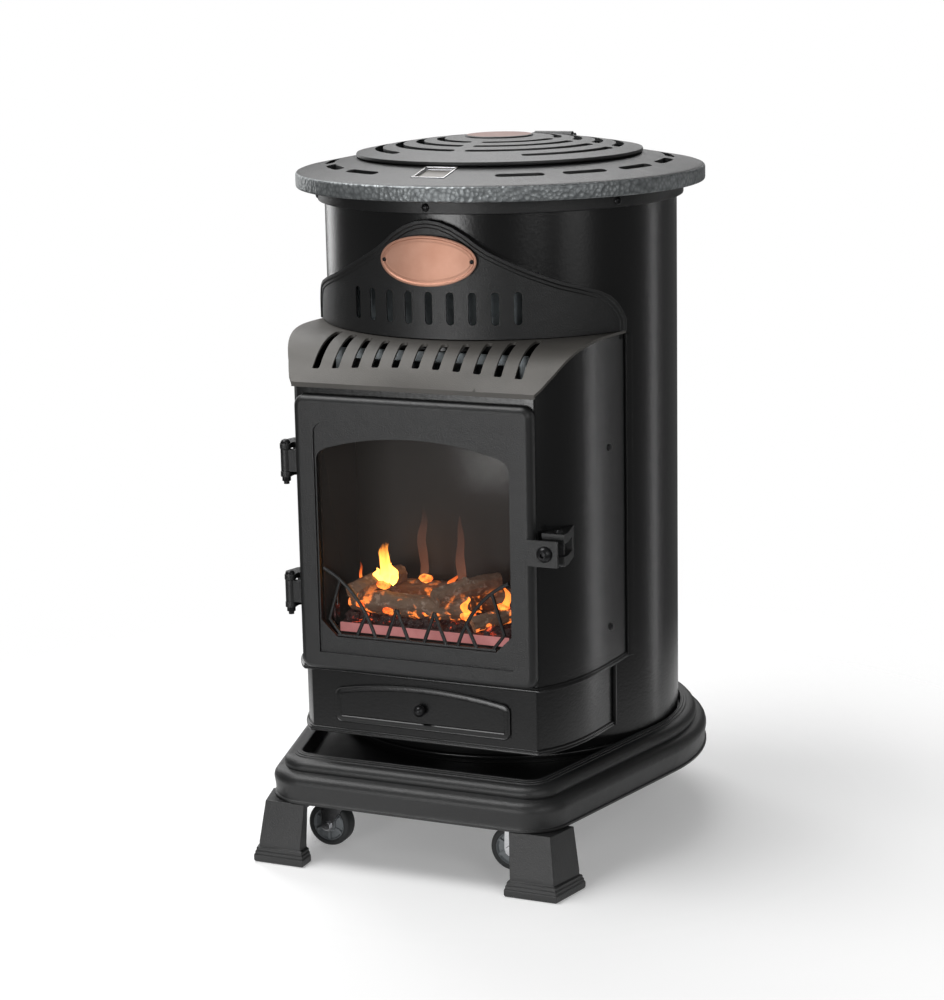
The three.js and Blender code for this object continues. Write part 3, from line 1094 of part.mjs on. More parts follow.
// ---------- firebox liner, burner, fire ----------
{
  const { half, front, back, low, high, sheet } = LINER;
  const box = block(-half, half, -front + CASE_WALL, -back, low, high);
  const hollow = block(-half + sheet, half - sheet, -front - 5, -back - sheet, low + sheet, high - sheet);
  const flue = block(-half + 16, half - 16, -front + CASE_WALL + 8, -front + CASE_WALL + 40, high - 5, high + 5);
  const pipeHole = bar([-half - 5, -PIPE_Y - 28, PIPE_ENTRY_Z], [-half + 5, -PIPE_Y - 28, PIPE_ENTRY_Z],
    PIPE_R + 3, 16);
  piece('firebox_liner', cut(box, hollow, flue, pipeHole), LINER_STEEL);
}
{
  const { half, front, back, high, wall } = BURNER;
  const low = LINER.low + LINER.sheet + GAP;
  const box = block(-half, half, -front, -back, low, high);
  const hollow = block(-half + wall, half - wall, -front + wall, -back - wall, low - 1, high - wall);
  let burner = cut(box, hollow);
  const PORTS = 9;
  for (let i = 0; i < PORTS; i += 1) {
    const x = (i - (PORTS - 1) / 2) * 22;
    burner = cut(burner, block(x - 5, x + 5, -front + 14, -front + 20, high - 5, high + 5));
  }
  const inlet = bar([-half - 6, -PIPE_Y - 28, PIPE_ENTRY_Z], [-half + 1, -PIPE_Y - 28, PIPE_ENTRY_Z],
    PIPE_R + 2, 6);
  piece('burner_tray', join(burner, inlet), LINER_STEEL);
}
function emberBed() {
  const { half, front, back, high } = BURNER;
  const NX = 12;
  const NY = 5;
  const low = high + GAP;
  const position = [];
  for (const layer of [0, 1]) {
    for (let j = 0; j <= NY; j += 1) {
      for (let i = 0; i <= NX; i += 1) {
        const edge = i === 0 || j === 0 || i === NX || j === NY;
        const lump = EMBER_DEPTH * (0.7 + 0.3 * Math.sin(i * 2.4 + j * 4.1) * Math.cos(i * 1.3 - j * 2.7));
        const x = -half + 3 + ((2 * half - 6) * i) / NX;
        const y = -front + 3 + ((front - back - 6) * j) / NY;
        position.push(x, y, layer ? low + (edge ? EMBER_DEPTH * 0.4 : lump) : low);
      }
    }
  }
  const at = (layer, i, j) => layer * (NX + 1) * (NY + 1) + j * (NX + 1) + i;
  const faces = [];
  const quad = (a, b, c, d) => faces.push(a, b, c, a, c, d);
  for (let j = 0; j < NY; j += 1) {
    for (let i = 0; i < NX; i += 1) {
      quad(at(1, i, j), at(1, i + 1, j), at(1, i + 1, j + 1), at(1, i, j + 1));
      quad(at(0, i, j), at(0, i, j + 1), at(0, i + 1, j + 1), at(0, i + 1, j));
    }
  }
  for (let i = 0; i < NX; i += 1) {
    quad(at(0, i, 0), at(0, i + 1, 0), at(1, i + 1, 0), at(1, i, 0));
    quad(at(0, i + 1, NY), at(0, i, NY), at(1, i, NY), at(1, i + 1, NY));
  }
  for (let j = 0; j < NY; j += 1) {
    quad(at(0, 0, j + 1), at(0, 0, j), at(1, 0, j), at(1, 0, j + 1));
    quad(at(0, NX, j), at(0, NX, j + 1), at(1, NX, j + 1), at(1, NX, j));
  }
  const geometry = new THREE.BufferGeometry();
  geometry.setAttribute('position', new THREE.Float32BufferAttribute(position, 3));
  geometry.setIndex(faces);
  return solid(geometry);
}
const embers = emberBed();
piece('ember_bed', embers, EMBER);

// a log is a bent, tapering stick with uneven sides
function log(points, radius, seed) {
  const path = new THREE.CatmullRomCurve3(points.map((p) => new THREE.Vector3(...p)));
  const section = new THREE.Shape();
  const SIDES = 9;
  for (let i = 0; i < SIDES; i += 1) {
    const a = (2 * Math.PI * i) / SIDES;
    const r = radius * (1 + 0.1 * Math.sin(3 * a + seed) + 0.06 * Math.cos(5 * a + 2 * seed));
    if (i === 0) section.moveTo(r * Math.cos(a), r * Math.sin(a));
    else section.lineTo(r * Math.cos(a), r * Math.sin(a));
  }
  section.closePath();
  return solid(new THREE.ExtrudeGeometry(section, { steps: 8, extrudePath: path, bevelEnabled: false }));
}
const LOG_SEAT = BURNER.high + GAP + EMBER_DEPTH * 0.55;
const BURNER_MIDDLE = (BURNER.front + BURNER.back) / 2;
// each log's points from the burner's middle and the embers' top, its radius, and the seed of its bark
const logs = [
  ['log_main', [[-92, -13, 15], [-30, -19, 13], [44, -17, 16]], 12, 1],
  ['log_back', [[-70, 23, 16], [0, 25, 18], [78, 23, 15]], 14, 2],
  ['log_left_cross', [[-86, -33, 28], [-72, -7, 34], [-56, 21, 37]], 10, 4],
  ['log_top_cross', [[14, -35, 30], [34, -7, 35], [60, 21, 38]], 9.5, 5],
].map(([name, points, ...more]) => [
  name, points.map(([x, y, z]) => [x, y - BURNER_MIDDLE, z + LOG_SEAT]), ...more,
]);
for (const [name, points, radius, seed] of logs) {
  let body = log(points, radius, seed);
  body = cut(body, embers.translate([0, 0, GAP]),
    block(-BURNER.half, BURNER.half, -BURNER.front, -BURNER.back, LINER.low, BURNER.high + GAP));
  for (const [other, otherPoints, otherRadius, otherSeed] of logs) {
    if (other === name) break;
    body = cut(body, log(otherPoints, otherRadius + GAP, otherSeed));
  }
  piece(name, body, CERAMIC_LOG);
}

{
  const y = -BURNER.front + 16;
  const x = -BURNER.half - 8;
  const base = LINER.low + LINER.sheet + GAP;
  const pilot = join(
    block(x - 5, x + 5, y - 8, y + 8, base, base + 2),
    block(x - 1.5, x + 1.5, y - 8, y + 8, base + 1, base + 58),
    bar([x, y - 4, base + 40], [x, y - 4, base + 66], 2.6, 12),
    bar([x, y + 5, base + 44], [x, y + 5, base + 72], 1.6, 12));
  piece('pilot_burner', pilot, BRIGHT);
}

// supply pipe from the valve down behind the liner to the burner
{
  const z = (VALVE_Z[0] + VALVE_Z[1]) / 2;
  const start = KNOB.x - 34 - GAP;
  const turnZ = PIPE_ENTRY_Z;
  const endY = -PIPE_Y - 28;
  const path = new THREE.CatmullRomCurve3([
    [start, KNOB.y, z], [start - 8, KNOB.y, z - 0.6], [-88, -122, z - 6], [-104, -134, z - 9],
    [-118, -PIPE_Y, z - 20], [-PIPE_X, -PIPE_Y, z - 42], [-PIPE_X, -PIPE_Y, z - 70], [-PIPE_X, -PIPE_Y, 500],
    [-PIPE_X, -PIPE_Y, 400], [-PIPE_X, -PIPE_Y, 300],
    [-PIPE_X, -PIPE_Y, turnZ + 22], [-PIPE_X - 1, -PIPE_Y - 8, turnZ + 6], [-PIPE_X - 1, endY + 8, turnZ],
    [-PIPE_X + 3, endY + 1, turnZ], [-PIPE_X + 9, endY, turnZ], [-BURNER.half - 6 - GAP, endY, turnZ],
  ].map((p) => new THREE.Vector3(...p)), false, 'catmullrom', 0.3);
  const section = new THREE.Shape();
  section.absarc(0, 0, PIPE_R, 0, 2 * Math.PI, false);
  const sweep = { steps: 30, extrudePath: path, curveSegments: 3, bevelEnabled: false };
  const tube = new THREE.ExtrudeGeometry(section, sweep);
  piece('supply_pipe', solid(tube), BRASS);
}

// light strip behind the hood's slots, standing on the liner
{
  const { half, low, high, post, foot: reach } = HOOD_STRIP;
  const y = -HOOD_STRIP.y;
  const foot0 = LINER.high + GAP;
  const strip = block(-half, half, y, y + SHEET, low, high);
  const posts = [-half, half - post].map((x) => block(x, x + post, y, y + SHEET, foot0, (low + high) / 2));
  const feet = [-half, half - post].map((x) => block(x, x + post, y, y + reach, foot0, foot0 + SHEET));
  piece('hood_deflector', join(strip, ...posts, ...feet), GALVANISED);
}

// heat shield between the fire and the bottle
{
  const { y, below, foot: reach } = SHIELD;
  const half = Math.sqrt(DRUM_IN ** 2 - y ** 2) - 0.4;
  const plate = block(-half, half, -y, -y + SHEET, DRUM_BOTTOM, DRUM_TOP - below);
  const flange = block(-half + 40, half - 40, -y - reach, -y + SHEET, DRUM_BOTTOM, DRUM_BOTTOM + SHEET);
  piece('heat_shield', join(plate, flange), GALVANISED);
}

export default heater;
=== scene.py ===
"""Looks of the portable gas cabinet heater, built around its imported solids.

Shapes are worked out in millimetres from the drum's axis and turned into metres at the end.
"""
import random
from math import acos, asin, atan, atan2, cos, degrees, exp, hypot, pi, radians, sin, sqrt

import bmesh
import bpy
from bmesh import ops
from mathutils import Matrix, Vector, noise


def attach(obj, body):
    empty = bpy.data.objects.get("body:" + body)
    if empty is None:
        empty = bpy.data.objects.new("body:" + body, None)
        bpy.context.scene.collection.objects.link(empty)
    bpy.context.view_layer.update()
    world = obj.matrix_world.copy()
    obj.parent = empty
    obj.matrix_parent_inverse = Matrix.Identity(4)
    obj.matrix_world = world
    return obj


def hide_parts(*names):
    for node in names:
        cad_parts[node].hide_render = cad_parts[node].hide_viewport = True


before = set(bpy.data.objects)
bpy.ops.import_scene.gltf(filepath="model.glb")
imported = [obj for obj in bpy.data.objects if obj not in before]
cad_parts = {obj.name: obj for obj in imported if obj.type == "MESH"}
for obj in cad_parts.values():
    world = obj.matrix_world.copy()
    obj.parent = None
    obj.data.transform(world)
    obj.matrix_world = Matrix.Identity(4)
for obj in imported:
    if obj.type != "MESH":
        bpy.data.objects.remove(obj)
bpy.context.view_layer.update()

MM = 0.001
DRUM_R = 196.5
DRUM_Y = 39.5                 # the drum's axis lies this far behind the frame's origin
CORNERS = ("front_left", "front_right", "rear_left", "rear_right")
CABINET = "cabinet"
DOOR = "front_door"


# ---------- shader sums ----------
def arithmetic(operation, swapped=False):
    """A method that adds a Math node for one arithmetic sign."""
    def method(self, other):
        values = (other, self) if swapped else (self, other)
        return self.finish.add("Math", {"operation": operation}, dict(enumerate(values)))
    return method


class Wire:
    """A shader socket that adds Math nodes when it is used in a sum."""

    def __init__(self, finish, socket):
        self.finish = finish
        self.socket = socket

    __add__ = __radd__ = arithmetic("ADD")
    __mul__ = __rmul__ = arithmetic("MULTIPLY")
    __sub__ = arithmetic("SUBTRACT")
    __rsub__ = arithmetic("SUBTRACT", swapped=True)
    __truediv__ = arithmetic("DIVIDE")
    __pow__ = arithmetic("POWER")

    def above(self, level, soft):
        """0 below the level, 1 above it, with a soft step between."""
        names = {"Value": self, "From Min": level - soft, "From Max": level + soft}
        return self.finish.add("MapRange", {"interpolation_type": "SMOOTHSTEP"}, names)


class Finish:
    """One material, built node by node."""

    def __init__(self, name):
        self.material = bpy.data.materials.new(name)
        self.material.use_nodes = True
        self.tree = self.material.node_tree
        self.tree.nodes.clear()
        self.output = self.tree.nodes.new("ShaderNodeOutputMaterial")
        self.place = self.add("TexCoord", out="Object")

    def add(self, kind, settings=None, inputs=None, out=0):
        node = self.tree.nodes.new(f"ShaderNode{kind}")
        for key, value in (settings or {}).items():
            if key == "stops":
                ramp = node.color_ramp.elements
                while len(ramp) < len(value):
                    ramp.new(0.5)
                for stop, (position, color) in zip(ramp, value):
                    stop.position = position
                    stop.color = (*color, 1)
            else:
                setattr(node, key, value)
        for key, value in (inputs or {}).items():
            socket = node.inputs[key]
            if isinstance(value, Wire):
                self.tree.links.new(value.socket, socket)
            else:
                socket.default_value = value
        return Wire(self, node.outputs[out])

    def grain(self, scale, detail=3.0, rough=0.55, at=None, out="Fac"):
        names = {"Vector": at or self.place, "Scale": scale, "Detail": detail, "Roughness": rough}
        return self.add("TexNoise", None, names, out)

    def cells(self, scale, out="Distance", at=None):
        return self.add("TexVoronoi", None, {"Vector": at or self.place, "Scale": scale}, out)

    def stretched(self, size, turn=(0, 0, 0)):
        return self.add("Mapping", None, {"Vector": self.place, "Scale": size, "Rotation": turn})

    def split(self, axis):
        return self.add("SeparateXYZ", None, {"Vector": self.place}, axis)

    def blend(self, share, low, high):
        def colour(value):
            return (*value, 1) if isinstance(value, tuple) else value

        names = {0: share, 6: colour(low), 7: colour(high)}
        return self.add("Mix", {"data_type": "RGBA"}, names, 2)

    def bump(self, height, distance, strength=1.0, under=None):
        names = {"Height": height, "Distance": distance, "Strength": strength}
        if under:
            names["Normal"] = under
        return self.add("Bump", None, names)

    def coat(self, color, roughness, metallic=0.0, normal=None, more=None):
        names = {
            "Base Color": color if isinstance(color, Wire) else (*color, 1),
            "Roughness": roughness,
            "Metallic": metallic,
        }
        if normal:
            names["Normal"] = normal
        names.update(more or {})
        shader = self.add("BsdfPrincipled", None, names)
        self.tree.links.new(shader.socket, self.output.inputs["Surface"])
        return self.material


def powder_cast():
    """Black powder coat over sand-cast iron."""
    f = Finish("powder_cast")
    pebble = f.grain(620, 4, 0.6)
    wave = f.grain(55, 3, 0.5)
    tone = f.blend(wave, (0.0048, 0.0051, 0.0054), (0.0085, 0.0088, 0.0090))
    skin = f.bump(pebble, 0.0006, 0.55)
    lumps = f.bump(wave, 0.0015, 0.25, skin)
    return f.coat(tone, 0.36 + pebble * 0.16, 0.0, lumps, {"Specular IOR Level": 0.6})


def rim_with_painted_sheen():
    """The same coat where the casting is left coarse, with its bluish sheen painted in as a far lighter
    base colour.
    """
    f = Finish("rim_with_painted_sheen")
    dents = f.cells(210)
    pebble = f.grain(700, 3, 0.6)
    # painted sheen: the dented pattern is coloured far lighter than the black coat, for the light the
    # coarse rim catches
    tone = f.blend(dents, (0.34, 0.36, 0.365), (0.13, 0.14, 0.145))
    skin = f.bump(dents, 0.0016, 0.6)
    return f.coat(tone, 0.36 + pebble * 0.14, 0.7, f.bump(pebble, 0.0004, 0.4, skin))


def satin_enamel():
    """Smooth black stove enamel on sheet steel, with a faint orange peel."""
    f = Finish("satin_enamel")
    peel = f.grain(330, 2, 0.5)
    smear = f.grain(9, 4, 0.6)
    tone = f.blend(smear, (0.0045, 0.0046, 0.0047), (0.0075, 0.0076, 0.0077))
    return f.coat(tone, 0.20 + smear * 0.05 + peel * 0.04, 0.0, f.bump(peel, 0.00025, 0.45))


def galvanised():
    f = Finish("galvanised")
    spangle = f.cells(120, "Color")
    shade = f.add("SeparateColor", None, {"Color": spangle}, 0)
    tone = f.blend(shade, (0.30, 0.34, 0.36), (0.48, 0.53, 0.55))
    return f.coat(tone, 0.42 + shade * 0.2, 0.35, f.bump(f.grain(500), 0.0002, 0.3))


def rosy_painted_firelight():
    """The burner's front edge, lit pink by the fire; that firelight is painted on as a pink emission."""
    f = Finish("rosy_painted_firelight")
    patch = f.grain(34, 4, 0.6)
    light = f.blend(patch, (0.36, 0.11, 0.11), (0.72, 0.30, 0.29))
    return f.coat((0.10, 0.04, 0.035), 0.6 + patch * 0.2, 0.0, None,
                  {"Emission Color": light, "Emission Strength": 0.75})


def hot_coal():
    f = Finish("hot_coal")
    fine = f.grain(120, 4, 0.7)
    light = f.blend(fine.above(0.5, 0.16), (0.80, 0.06, 0.008), (1.0, 0.34, 0.05))
    return f.coat((0.05, 0.02, 0.015), 0.9 - fine * 0.1, 0.0, f.bump(fine, 0.001, 0.6),
                  {"Emission Color": light, "Emission Strength": 2.2})


def rope_seal():
    f = Finish("rope_seal")
    weave = f.add("TexWave", None, {"Vector": f.place, "Scale": 260, "Distortion": 3.0}, "Fac")
    tone = f.blend(weave, (0.06, 0.058, 0.054), (0.16, 0.155, 0.145))
    return f.coat(tone, 0.85 + weave * 0.1, 0.0, f.bump(weave, 0.0006, 0.7))


def window_glass():
    """Heat-proof glass: clear and slightly smoky, with painted shade that darkens it towards its top."""
    f = Finish("window_glass")
    haze = f.grain(12, 3, 0.5)
    # painted shade: the dark veil thickens with height, so the pane darkens towards its top
    height = (f.split(2) - 0.25) * 4.4
    shade_veil = 0.05 + height * 0.07 + haze * 0.03
    return f.coat((0.085, 0.078, 0.072), 0.06 + haze * 0.05, 0.0, None,
                  {"Alpha": shade_veil, "IOR": 1.5, "Specular IOR Level": 0.6})


def charred_log():
    f = Finish("charred_log")
    fibre = f.grain(60, 6, 0.65, f.stretched((0.35, 1.6, 1.6)))
    crack = f.cells(75, "Distance", f.stretched((0.5, 1.5, 1.5)))
    ash = f.grain(95, 5, 0.65).above(0.60, 0.07)
    bark = f.blend(fibre, (0.016, 0.011, 0.008), (0.34, 0.24, 0.165))
    tone = f.blend(ash, bark, (0.40, 0.32, 0.25))
    low = (f.split(2) * -1 + 0.300) * 60
    heat = f.grain(60, 3, 0.6).above(0.61, 0.05)
    glow = f.add("Clamp", None, {"Value": low * heat})
    light = f.blend(glow, (0.012, 0.003, 0.001), (1.0, 0.22, 0.03))
    rough = f.bump(fibre, 0.004, 0.9)
    return f.coat(tone, 0.85 + ash * 0.1, 0.0, f.bump(crack, 0.003, 0.6, rough),
                  {"Emission Color": light, "Emission Strength": 1.6})


def sawn_end():
    f = Finish("sawn_end")
    rings = f.add("TexWave", {"wave_type": "RINGS"},
                  {"Vector": f.place, "Scale": 110, "Distortion": 4.0}, "Fac")
    tone = f.blend(rings, (0.20, 0.10, 0.055), (0.48, 0.28, 0.17))
    # painted firelight: a faint orange emission stands in for the fire's light on the sawn ends
    return f.coat(tone, 0.9 - rings * 0.1, 0.0, f.bump(rings, 0.001, 0.6),
                  {"Emission Color": (0.35, 0.12, 0.04, 1), "Emission Strength": 0.12})


def live_ember():
    f = Finish("live_ember")
    patch = f.grain(60, 4, 0.65)
    heat = patch.above(0.63, 0.06)
    fine = f.grain(260, 4, 0.7)
    coal = f.blend(fine, (0.006, 0.006, 0.006), (0.050, 0.046, 0.045))
    stops = [(0.0, (0.006, 0.001, 0.001)), (0.45, (0.30, 0.022, 0.008)),
             (0.8, (0.95, 0.13, 0.03)), (1.0, (1.0, 0.42, 0.10))]
    light = f.add("ValToRGB", {"stops": stops}, {"Fac": heat * (0.35 + fine * 0.9)})
    return f.coat(coal, 0.85 + fine * 0.1, 0.0, f.bump(fine, 0.002, 0.8),
                  {"Emission Color": light, "Emission Strength": 1.7})


def flame(name, foot, height, core, edge, strength, body):
    """A flame is brightest low down and thins out towards its tip."""
    f = Finish(name)
    rise = (f.split(2) - foot * MM) / (height * MM)
    lick = f.grain(95, 3, 0.6, f.stretched((1.6, 1.0, 0.45)))
    fade = f.add("Clamp", None, {"Value": (1.15 - rise - lick * 0.55) * body})
    light = f.blend(f.add("Clamp", None, {"Value": rise * 0.9 + lick * 0.5 - 0.1}), core, edge)
    return f.coat((0.02, 0.01, 0.005), 1.0 - lick * 0.05, 0.0, None,
                  {"Alpha": fade, "Emission Color": light, "Emission Strength": strength,
                   "Specular IOR Level": 0.0})


def grained(name, low, high, roughness, metallic, relief, wear, tone=None, skin=None):
    """A finish driven by noises: wear sets its roughness, and its tone and relief unless they are given.

    A noise is (scale, detail, roughness) and perhaps a stretch. The finish's roughness is
    (least, swing) and its relief (depth, strength).
    """
    f = Finish(name)
    made = {}

    def noise_for(settings):
        if settings not in made:
            scale, detail, rough, *stretch = settings
            made[settings] = f.grain(scale, detail, rough, f.stretched(*stretch) if stretch else None)
        return made[settings]

    least, swing = roughness
    return f.coat(f.blend(noise_for(tone or wear), low, high), least + noise_for(wear) * swing, metallic,
                  f.bump(noise_for(skin or wear), *relief))


def dark_plastic(name, low, high):
    return grained(name, low, high, (0.36, 0.15), 0.0, (0.0002, 0.5), (900, 2, 0.5))


CAST = powder_cast()
SHEEN_RIM = rim_with_painted_sheen()
ENAMEL = satin_enamel()
ZINC = galvanised()
ROPE = rope_seal()
GLASS = window_glass()
LOG = charred_log()
SAWN = sawn_end()
EMBER = live_ember()
ROSY = rosy_painted_firelight()
HOT = hot_coal()
# heat-resistant paint that has browned over the fire
HOOD = grained("warm_hood", (0.055, 0.052, 0.048), (0.105, 0.098, 0.088), (0.42, 0.14), 0.25,
               (0.0004, 0.5), (760, 3, 0.6), tone=(14, 4, 0.6))
COPPER = grained("aged_copper", (0.56, 0.28, 0.19), (0.74, 0.43, 0.32), (0.46, 0.16), 0.8,
                 (0.0002, 0.4), (60, 4, 0.6, (1, 1, 26)), tone=(38, 4, 0.6))
# the lid's plain centre: dark coat with a pinkish copper bloom
BLOOM = grained("copper_bloom", (0.12, 0.062, 0.050), (0.24, 0.13, 0.105), (0.42, 0.1), 0.55,
                (0.0004, 0.4), (70, 4, 0.6), skin=(700, 3.0, 0.55))
BRIGHT = grained("bright_plate", (0.52, 0.53, 0.55), (0.72, 0.72, 0.73), (0.14, 0.16), 1.0,
                 (0.0001, 0.3), (240, 4, 0.65, (1, 6, 1)), tone=(45, 3, 0.5))
# the finger plate's brushed face
SATIN = grained("satin_plate", (0.155, 0.145, 0.135), (0.185, 0.175, 0.163), (0.42, 0.14), 0.45,
                (0.0001, 0.3), (260, 3, 0.5, (3, 1, 1)))
BOLT = grained("black_bolt", (0.008, 0.008, 0.009), (0.022, 0.022, 0.023), (0.22, 0.16), 0.5,
               (0.0001, 0.4), (500, 4, 0.6))
SOOT = grained("sooted_steel", (0.018, 0.014, 0.012), (0.075, 0.055, 0.045), (0.55, 0.25), 0.35,
               (0.0004, 0.5), (300, 4, 0.6), tone=(24, 5, 0.65))
# smooth steel lining, browned evenly by the fire
LINER = grained("liner_sheet", (0.016, 0.0135, 0.012), (0.034, 0.028, 0.024), (0.48, 0.15), 0.3,
                (0.0003, 0.3), (9, 3, 0.5), skin=(60, 2, 0.5))
BRASS = grained("smooth_brass", (0.45, 0.28, 0.09), (0.66, 0.45, 0.17), (0.2, 0.2), 1.0,
                (0.0001, 0.3), (130, 4, 0.6))
RUBBER = grained("grey_rubber", (0.014, 0.015, 0.016), (0.034, 0.036, 0.037), (0.55, 0.25), 0.0,
                 (0.0003, 0.5), (90, 5, 0.65), skin=(800, 3.0, 0.55))
PLASTIC = dark_plastic("black_knob", (0.010, 0.010, 0.011), (0.020, 0.020, 0.021))
HUB = dark_plastic("grey_hub", (0.15, 0.165, 0.175), (0.24, 0.255, 0.265))
RED = dark_plastic("red_button", (0.30, 0.010, 0.008), (0.42, 0.020, 0.014))


# ---------- mesh helpers, all in millimetres about the drum's axis ----------
def polar(radius, azimuth):
    """Azimuths are degrees from the front, positive towards +X."""
    a = radians(azimuth)
    return radius * sin(a), -radius * cos(a)


def outward(bm):
    """Turns every face of a closed body to the outside."""
    ops.recalc_face_normals(bm, faces=bm.faces)
    return bm


def moved(bm, vec):
    ops.translate(bm, vec=vec, verts=bm.verts)
    return bm


def posed(bm, matrix):
    ops.transform(bm, matrix=matrix, verts=bm.verts)
    return bm


def linked(name, data):
    thing = bpy.data.objects.new(name, data)
    bpy.context.scene.collection.objects.link(thing)
    return thing


def mirrored(profile):
    """Points of (radius, height), then the same points upside down."""
    return profile + [(r, -z) for r, z in reversed(profile)]


def turned(profile, steps=128):
    """A closed body from (radius, height) points spun about Z."""
    bm = bmesh.new()
    verts = [bm.verts.new((r, 0, z)) for r, z in profile]
    edges = [bm.edges.new(pair) for pair in zip(verts, verts[1:])]
    if profile[0][0] > 0:
        edges.append(bm.edges.new((verts[-1], verts[0])))
    ops.spin(bm, geom=verts + edges, cent=(0, 0, 0), axis=(0, 0, 1), angle=2 * pi, steps=steps,
             use_merge=True, use_duplicate=False)
    ops.remove_doubles(bm, verts=bm.verts, dist=1e-3)
    ops.dissolve_degenerate(bm, dist=1e-4, edges=bm.edges)
    return outward(bm)


def slab(outline, low, high, across=False):
    """An outline drawn in plan and raised in Z, or drawn in front view and run along Y."""
    bm = bmesh.new()
    if across:
        verts = [bm.verts.new((x, low, z)) for x, z in outline]
        way = (0, high - low, 0)
    else:
        verts = [bm.verts.new((x, y, low)) for x, y in outline]
        way = (0, 0, high - low)
    face = bm.faces.new(verts)
    raised = ops.extrude_face_region(bm, geom=[face])["geom"]
    ops.translate(bm, vec=way, verts=[g for g in raised if isinstance(g, bmesh.types.BMVert)])
    return outward(bm)


def block(x0, x1, y0, y1, z0, z1):
    bm = bmesh.new()
    ops.create_cube(bm, size=1)
    ops.scale(bm, vec=(x1 - x0, y1 - y0, z1 - z0), verts=bm.verts)
    return moved(bm, ((x0 + x1) / 2, (y0 + y1) / 2, (z0 + z1) / 2))


def rod(start, end, radius, sides=32):
    """A round bar from one point to another."""
    a, b = Vector(start), Vector(end)
    bm = bmesh.new()
    ops.create_cone(bm, cap_ends=True, segments=sides, radius1=radius, radius2=radius, depth=(b - a).length)
    turn = (b - a).to_track_quat("Z", "Y").to_matrix().to_4x4()
    return posed(bm, Matrix.Translation((a + b) / 2) @ turn)


def aimed(bm, point, normal):
    """Turns a body made about Z so that it stands on a point, along a normal."""
    turn = Vector(normal).to_track_quat("Z", "Y").to_matrix().to_4x4()
    return posed(bm, Matrix.Translation(point) @ turn)


def plain(bm):
    mesh = bpy.data.meshes.new("work")
    bm.to_mesh(mesh)
    return linked("work", mesh)


def carved(bm, tools, operation="DIFFERENCE"):
    """A body less the tool bodies, or joined with them."""
    target = plain(bm)
    others = [plain(tool) for tool in tools]
    for other in others:
        modifier = target.modifiers.new("cut", "BOOLEAN")
        modifier.operation = operation
        modifier.object = other
        modifier.solver = "MANIFOLD"
    bpy.context.view_layer.update()
    result = target.evaluated_get(bpy.context.evaluated_depsgraph_get())
    made = bmesh.new()
    made.from_mesh(result.to_mesh())
    for thing in [target, *others]:
        mesh = thing.data
        bpy.data.objects.remove(thing)
        bpy.data.meshes.remove(mesh)
    bm.free()
    for tool in tools:
        tool.free()
    ops.dissolve_limit(made, angle_limit=radians(0.2), verts=made.verts, edges=made.edges)
    return made


def joined(bodies):
    """Several closed bodies kept as one mesh."""
    mesh = bpy.data.meshes.new("work")
    made = bmesh.new()
    for bm in bodies:
        bm.to_mesh(mesh)
        made.from_mesh(mesh)
        bm.free()
    bpy.data.meshes.remove(mesh)
    return made


def bevelled(bm, edges, width, segments, clamp=False):
    ops.bevel(bm, geom=edges, offset=width, offset_type="OFFSET", segments=segments, profile=0.5,
              affect="EDGES", clamp_overlap=clamp, material=-1)
    return bm


def softened(bm, width, segments=2, angle=30):
    """Rounds every edge that turns by more than the angle."""
    limit = radians(angle)
    sharp = [e for e in bm.edges if len(e.link_faces) == 2 and e.calc_face_angle() > limit]
    return bevelled(bm, sharp, width, segments, clamp=True)


def front_of(bm):
    return min(bm.faces, key=lambda face: face.calc_center_median().y)


def stepped(bm, steps):
    """Steps the front face inwards, each time by (width, height)."""
    front = front_of(bm)
    for width, height in steps:
        ops.inset_region(bm, faces=[front], thickness=width, depth=height, use_even_offset=True)
    return bm


def painted(bm, test):
    """Gives the second finish to the faces that pass a test of the face and its centre."""
    for face in bm.faces:
        face.material_index = int(test(face, face.calc_center_median()))
    return bm


def piece(name, bm, finish, body=CABINET, stands_for=(), smooth=35, scaled=True):
    """Sets a body down in the frame, in metres, riding on a CAD body."""
    if scaled:
        moved(bm, (0, DRUM_Y, 0))
        ops.scale(bm, vec=(MM, MM, MM), verts=bm.verts)
    mesh = bpy.data.meshes.new(name)
    bm.to_mesh(mesh)
    bm.free()
    for material in finish if isinstance(finish, list) else [finish]:
        mesh.materials.append(material)
    mesh.shade_smooth()
    mesh.set_sharp_from_angle(angle=radians(smooth))
    thing = linked(name, mesh)
    weigh = thing.modifiers.new("normals", "WEIGHTED_NORMAL")
    weigh.keep_sharp = True
    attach(thing, body)
    if stands_for:
        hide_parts(*([stands_for] if isinstance(stands_for, str) else stands_for))


def refined(node, finish, body=CABINET, width=0.0, smooth=35, segments=2):
    """A merged copy of a CAD solid with rounded edges and a smooth skin."""
    bm = bmesh.new()
    bm.from_mesh(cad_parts[node].data)
    ops.remove_doubles(bm, verts=bm.verts, dist=2e-6)
    ops.dissolve_limit(bm, angle_limit=radians(0.3), verts=bm.verts, edges=bm.edges)
    if width:
        softened(bm, width * MM, segments)
    piece(f"{node}_skin", bm, finish, body, node, smooth, scaled=False)


def arc_slot(radius, width, start, end, low, high, steps=24):
    """A curved slot with round ends, about the drum's axis."""
    half = width / 2
    trim = degrees(half / radius)
    a0, a1 = start + trim, end - trim
    outline = [polar(radius + half, a0 + (a1 - a0) * i / steps) for i in range(steps + 1)]
    for azimuth, back in ((a1, 0), (a0, pi)):
        cx, cy = polar(radius, azimuth)
        for i in range(1, 6):
            turn = radians(azimuth) + back + pi * i / 6
            outline.append((cx + half * sin(turn), cy - half * cos(turn)))
        if not back:
            outline += [polar(radius - half, a1 + (a0 - a1) * i / steps) for i in range(steps + 1)]
    return slab(outline, low, high)


def stadium(x, low, high, half, steps=8):
    """Outline of an upright slot with round ends, in front view."""
    points = []
    for first, cz in ((0, high - half), (pi, low + half)):
        for i in range(steps + 1):
            a = first + pi * i / steps
            points.append((x + half * cos(a), cz + half * sin(a)))
    return points


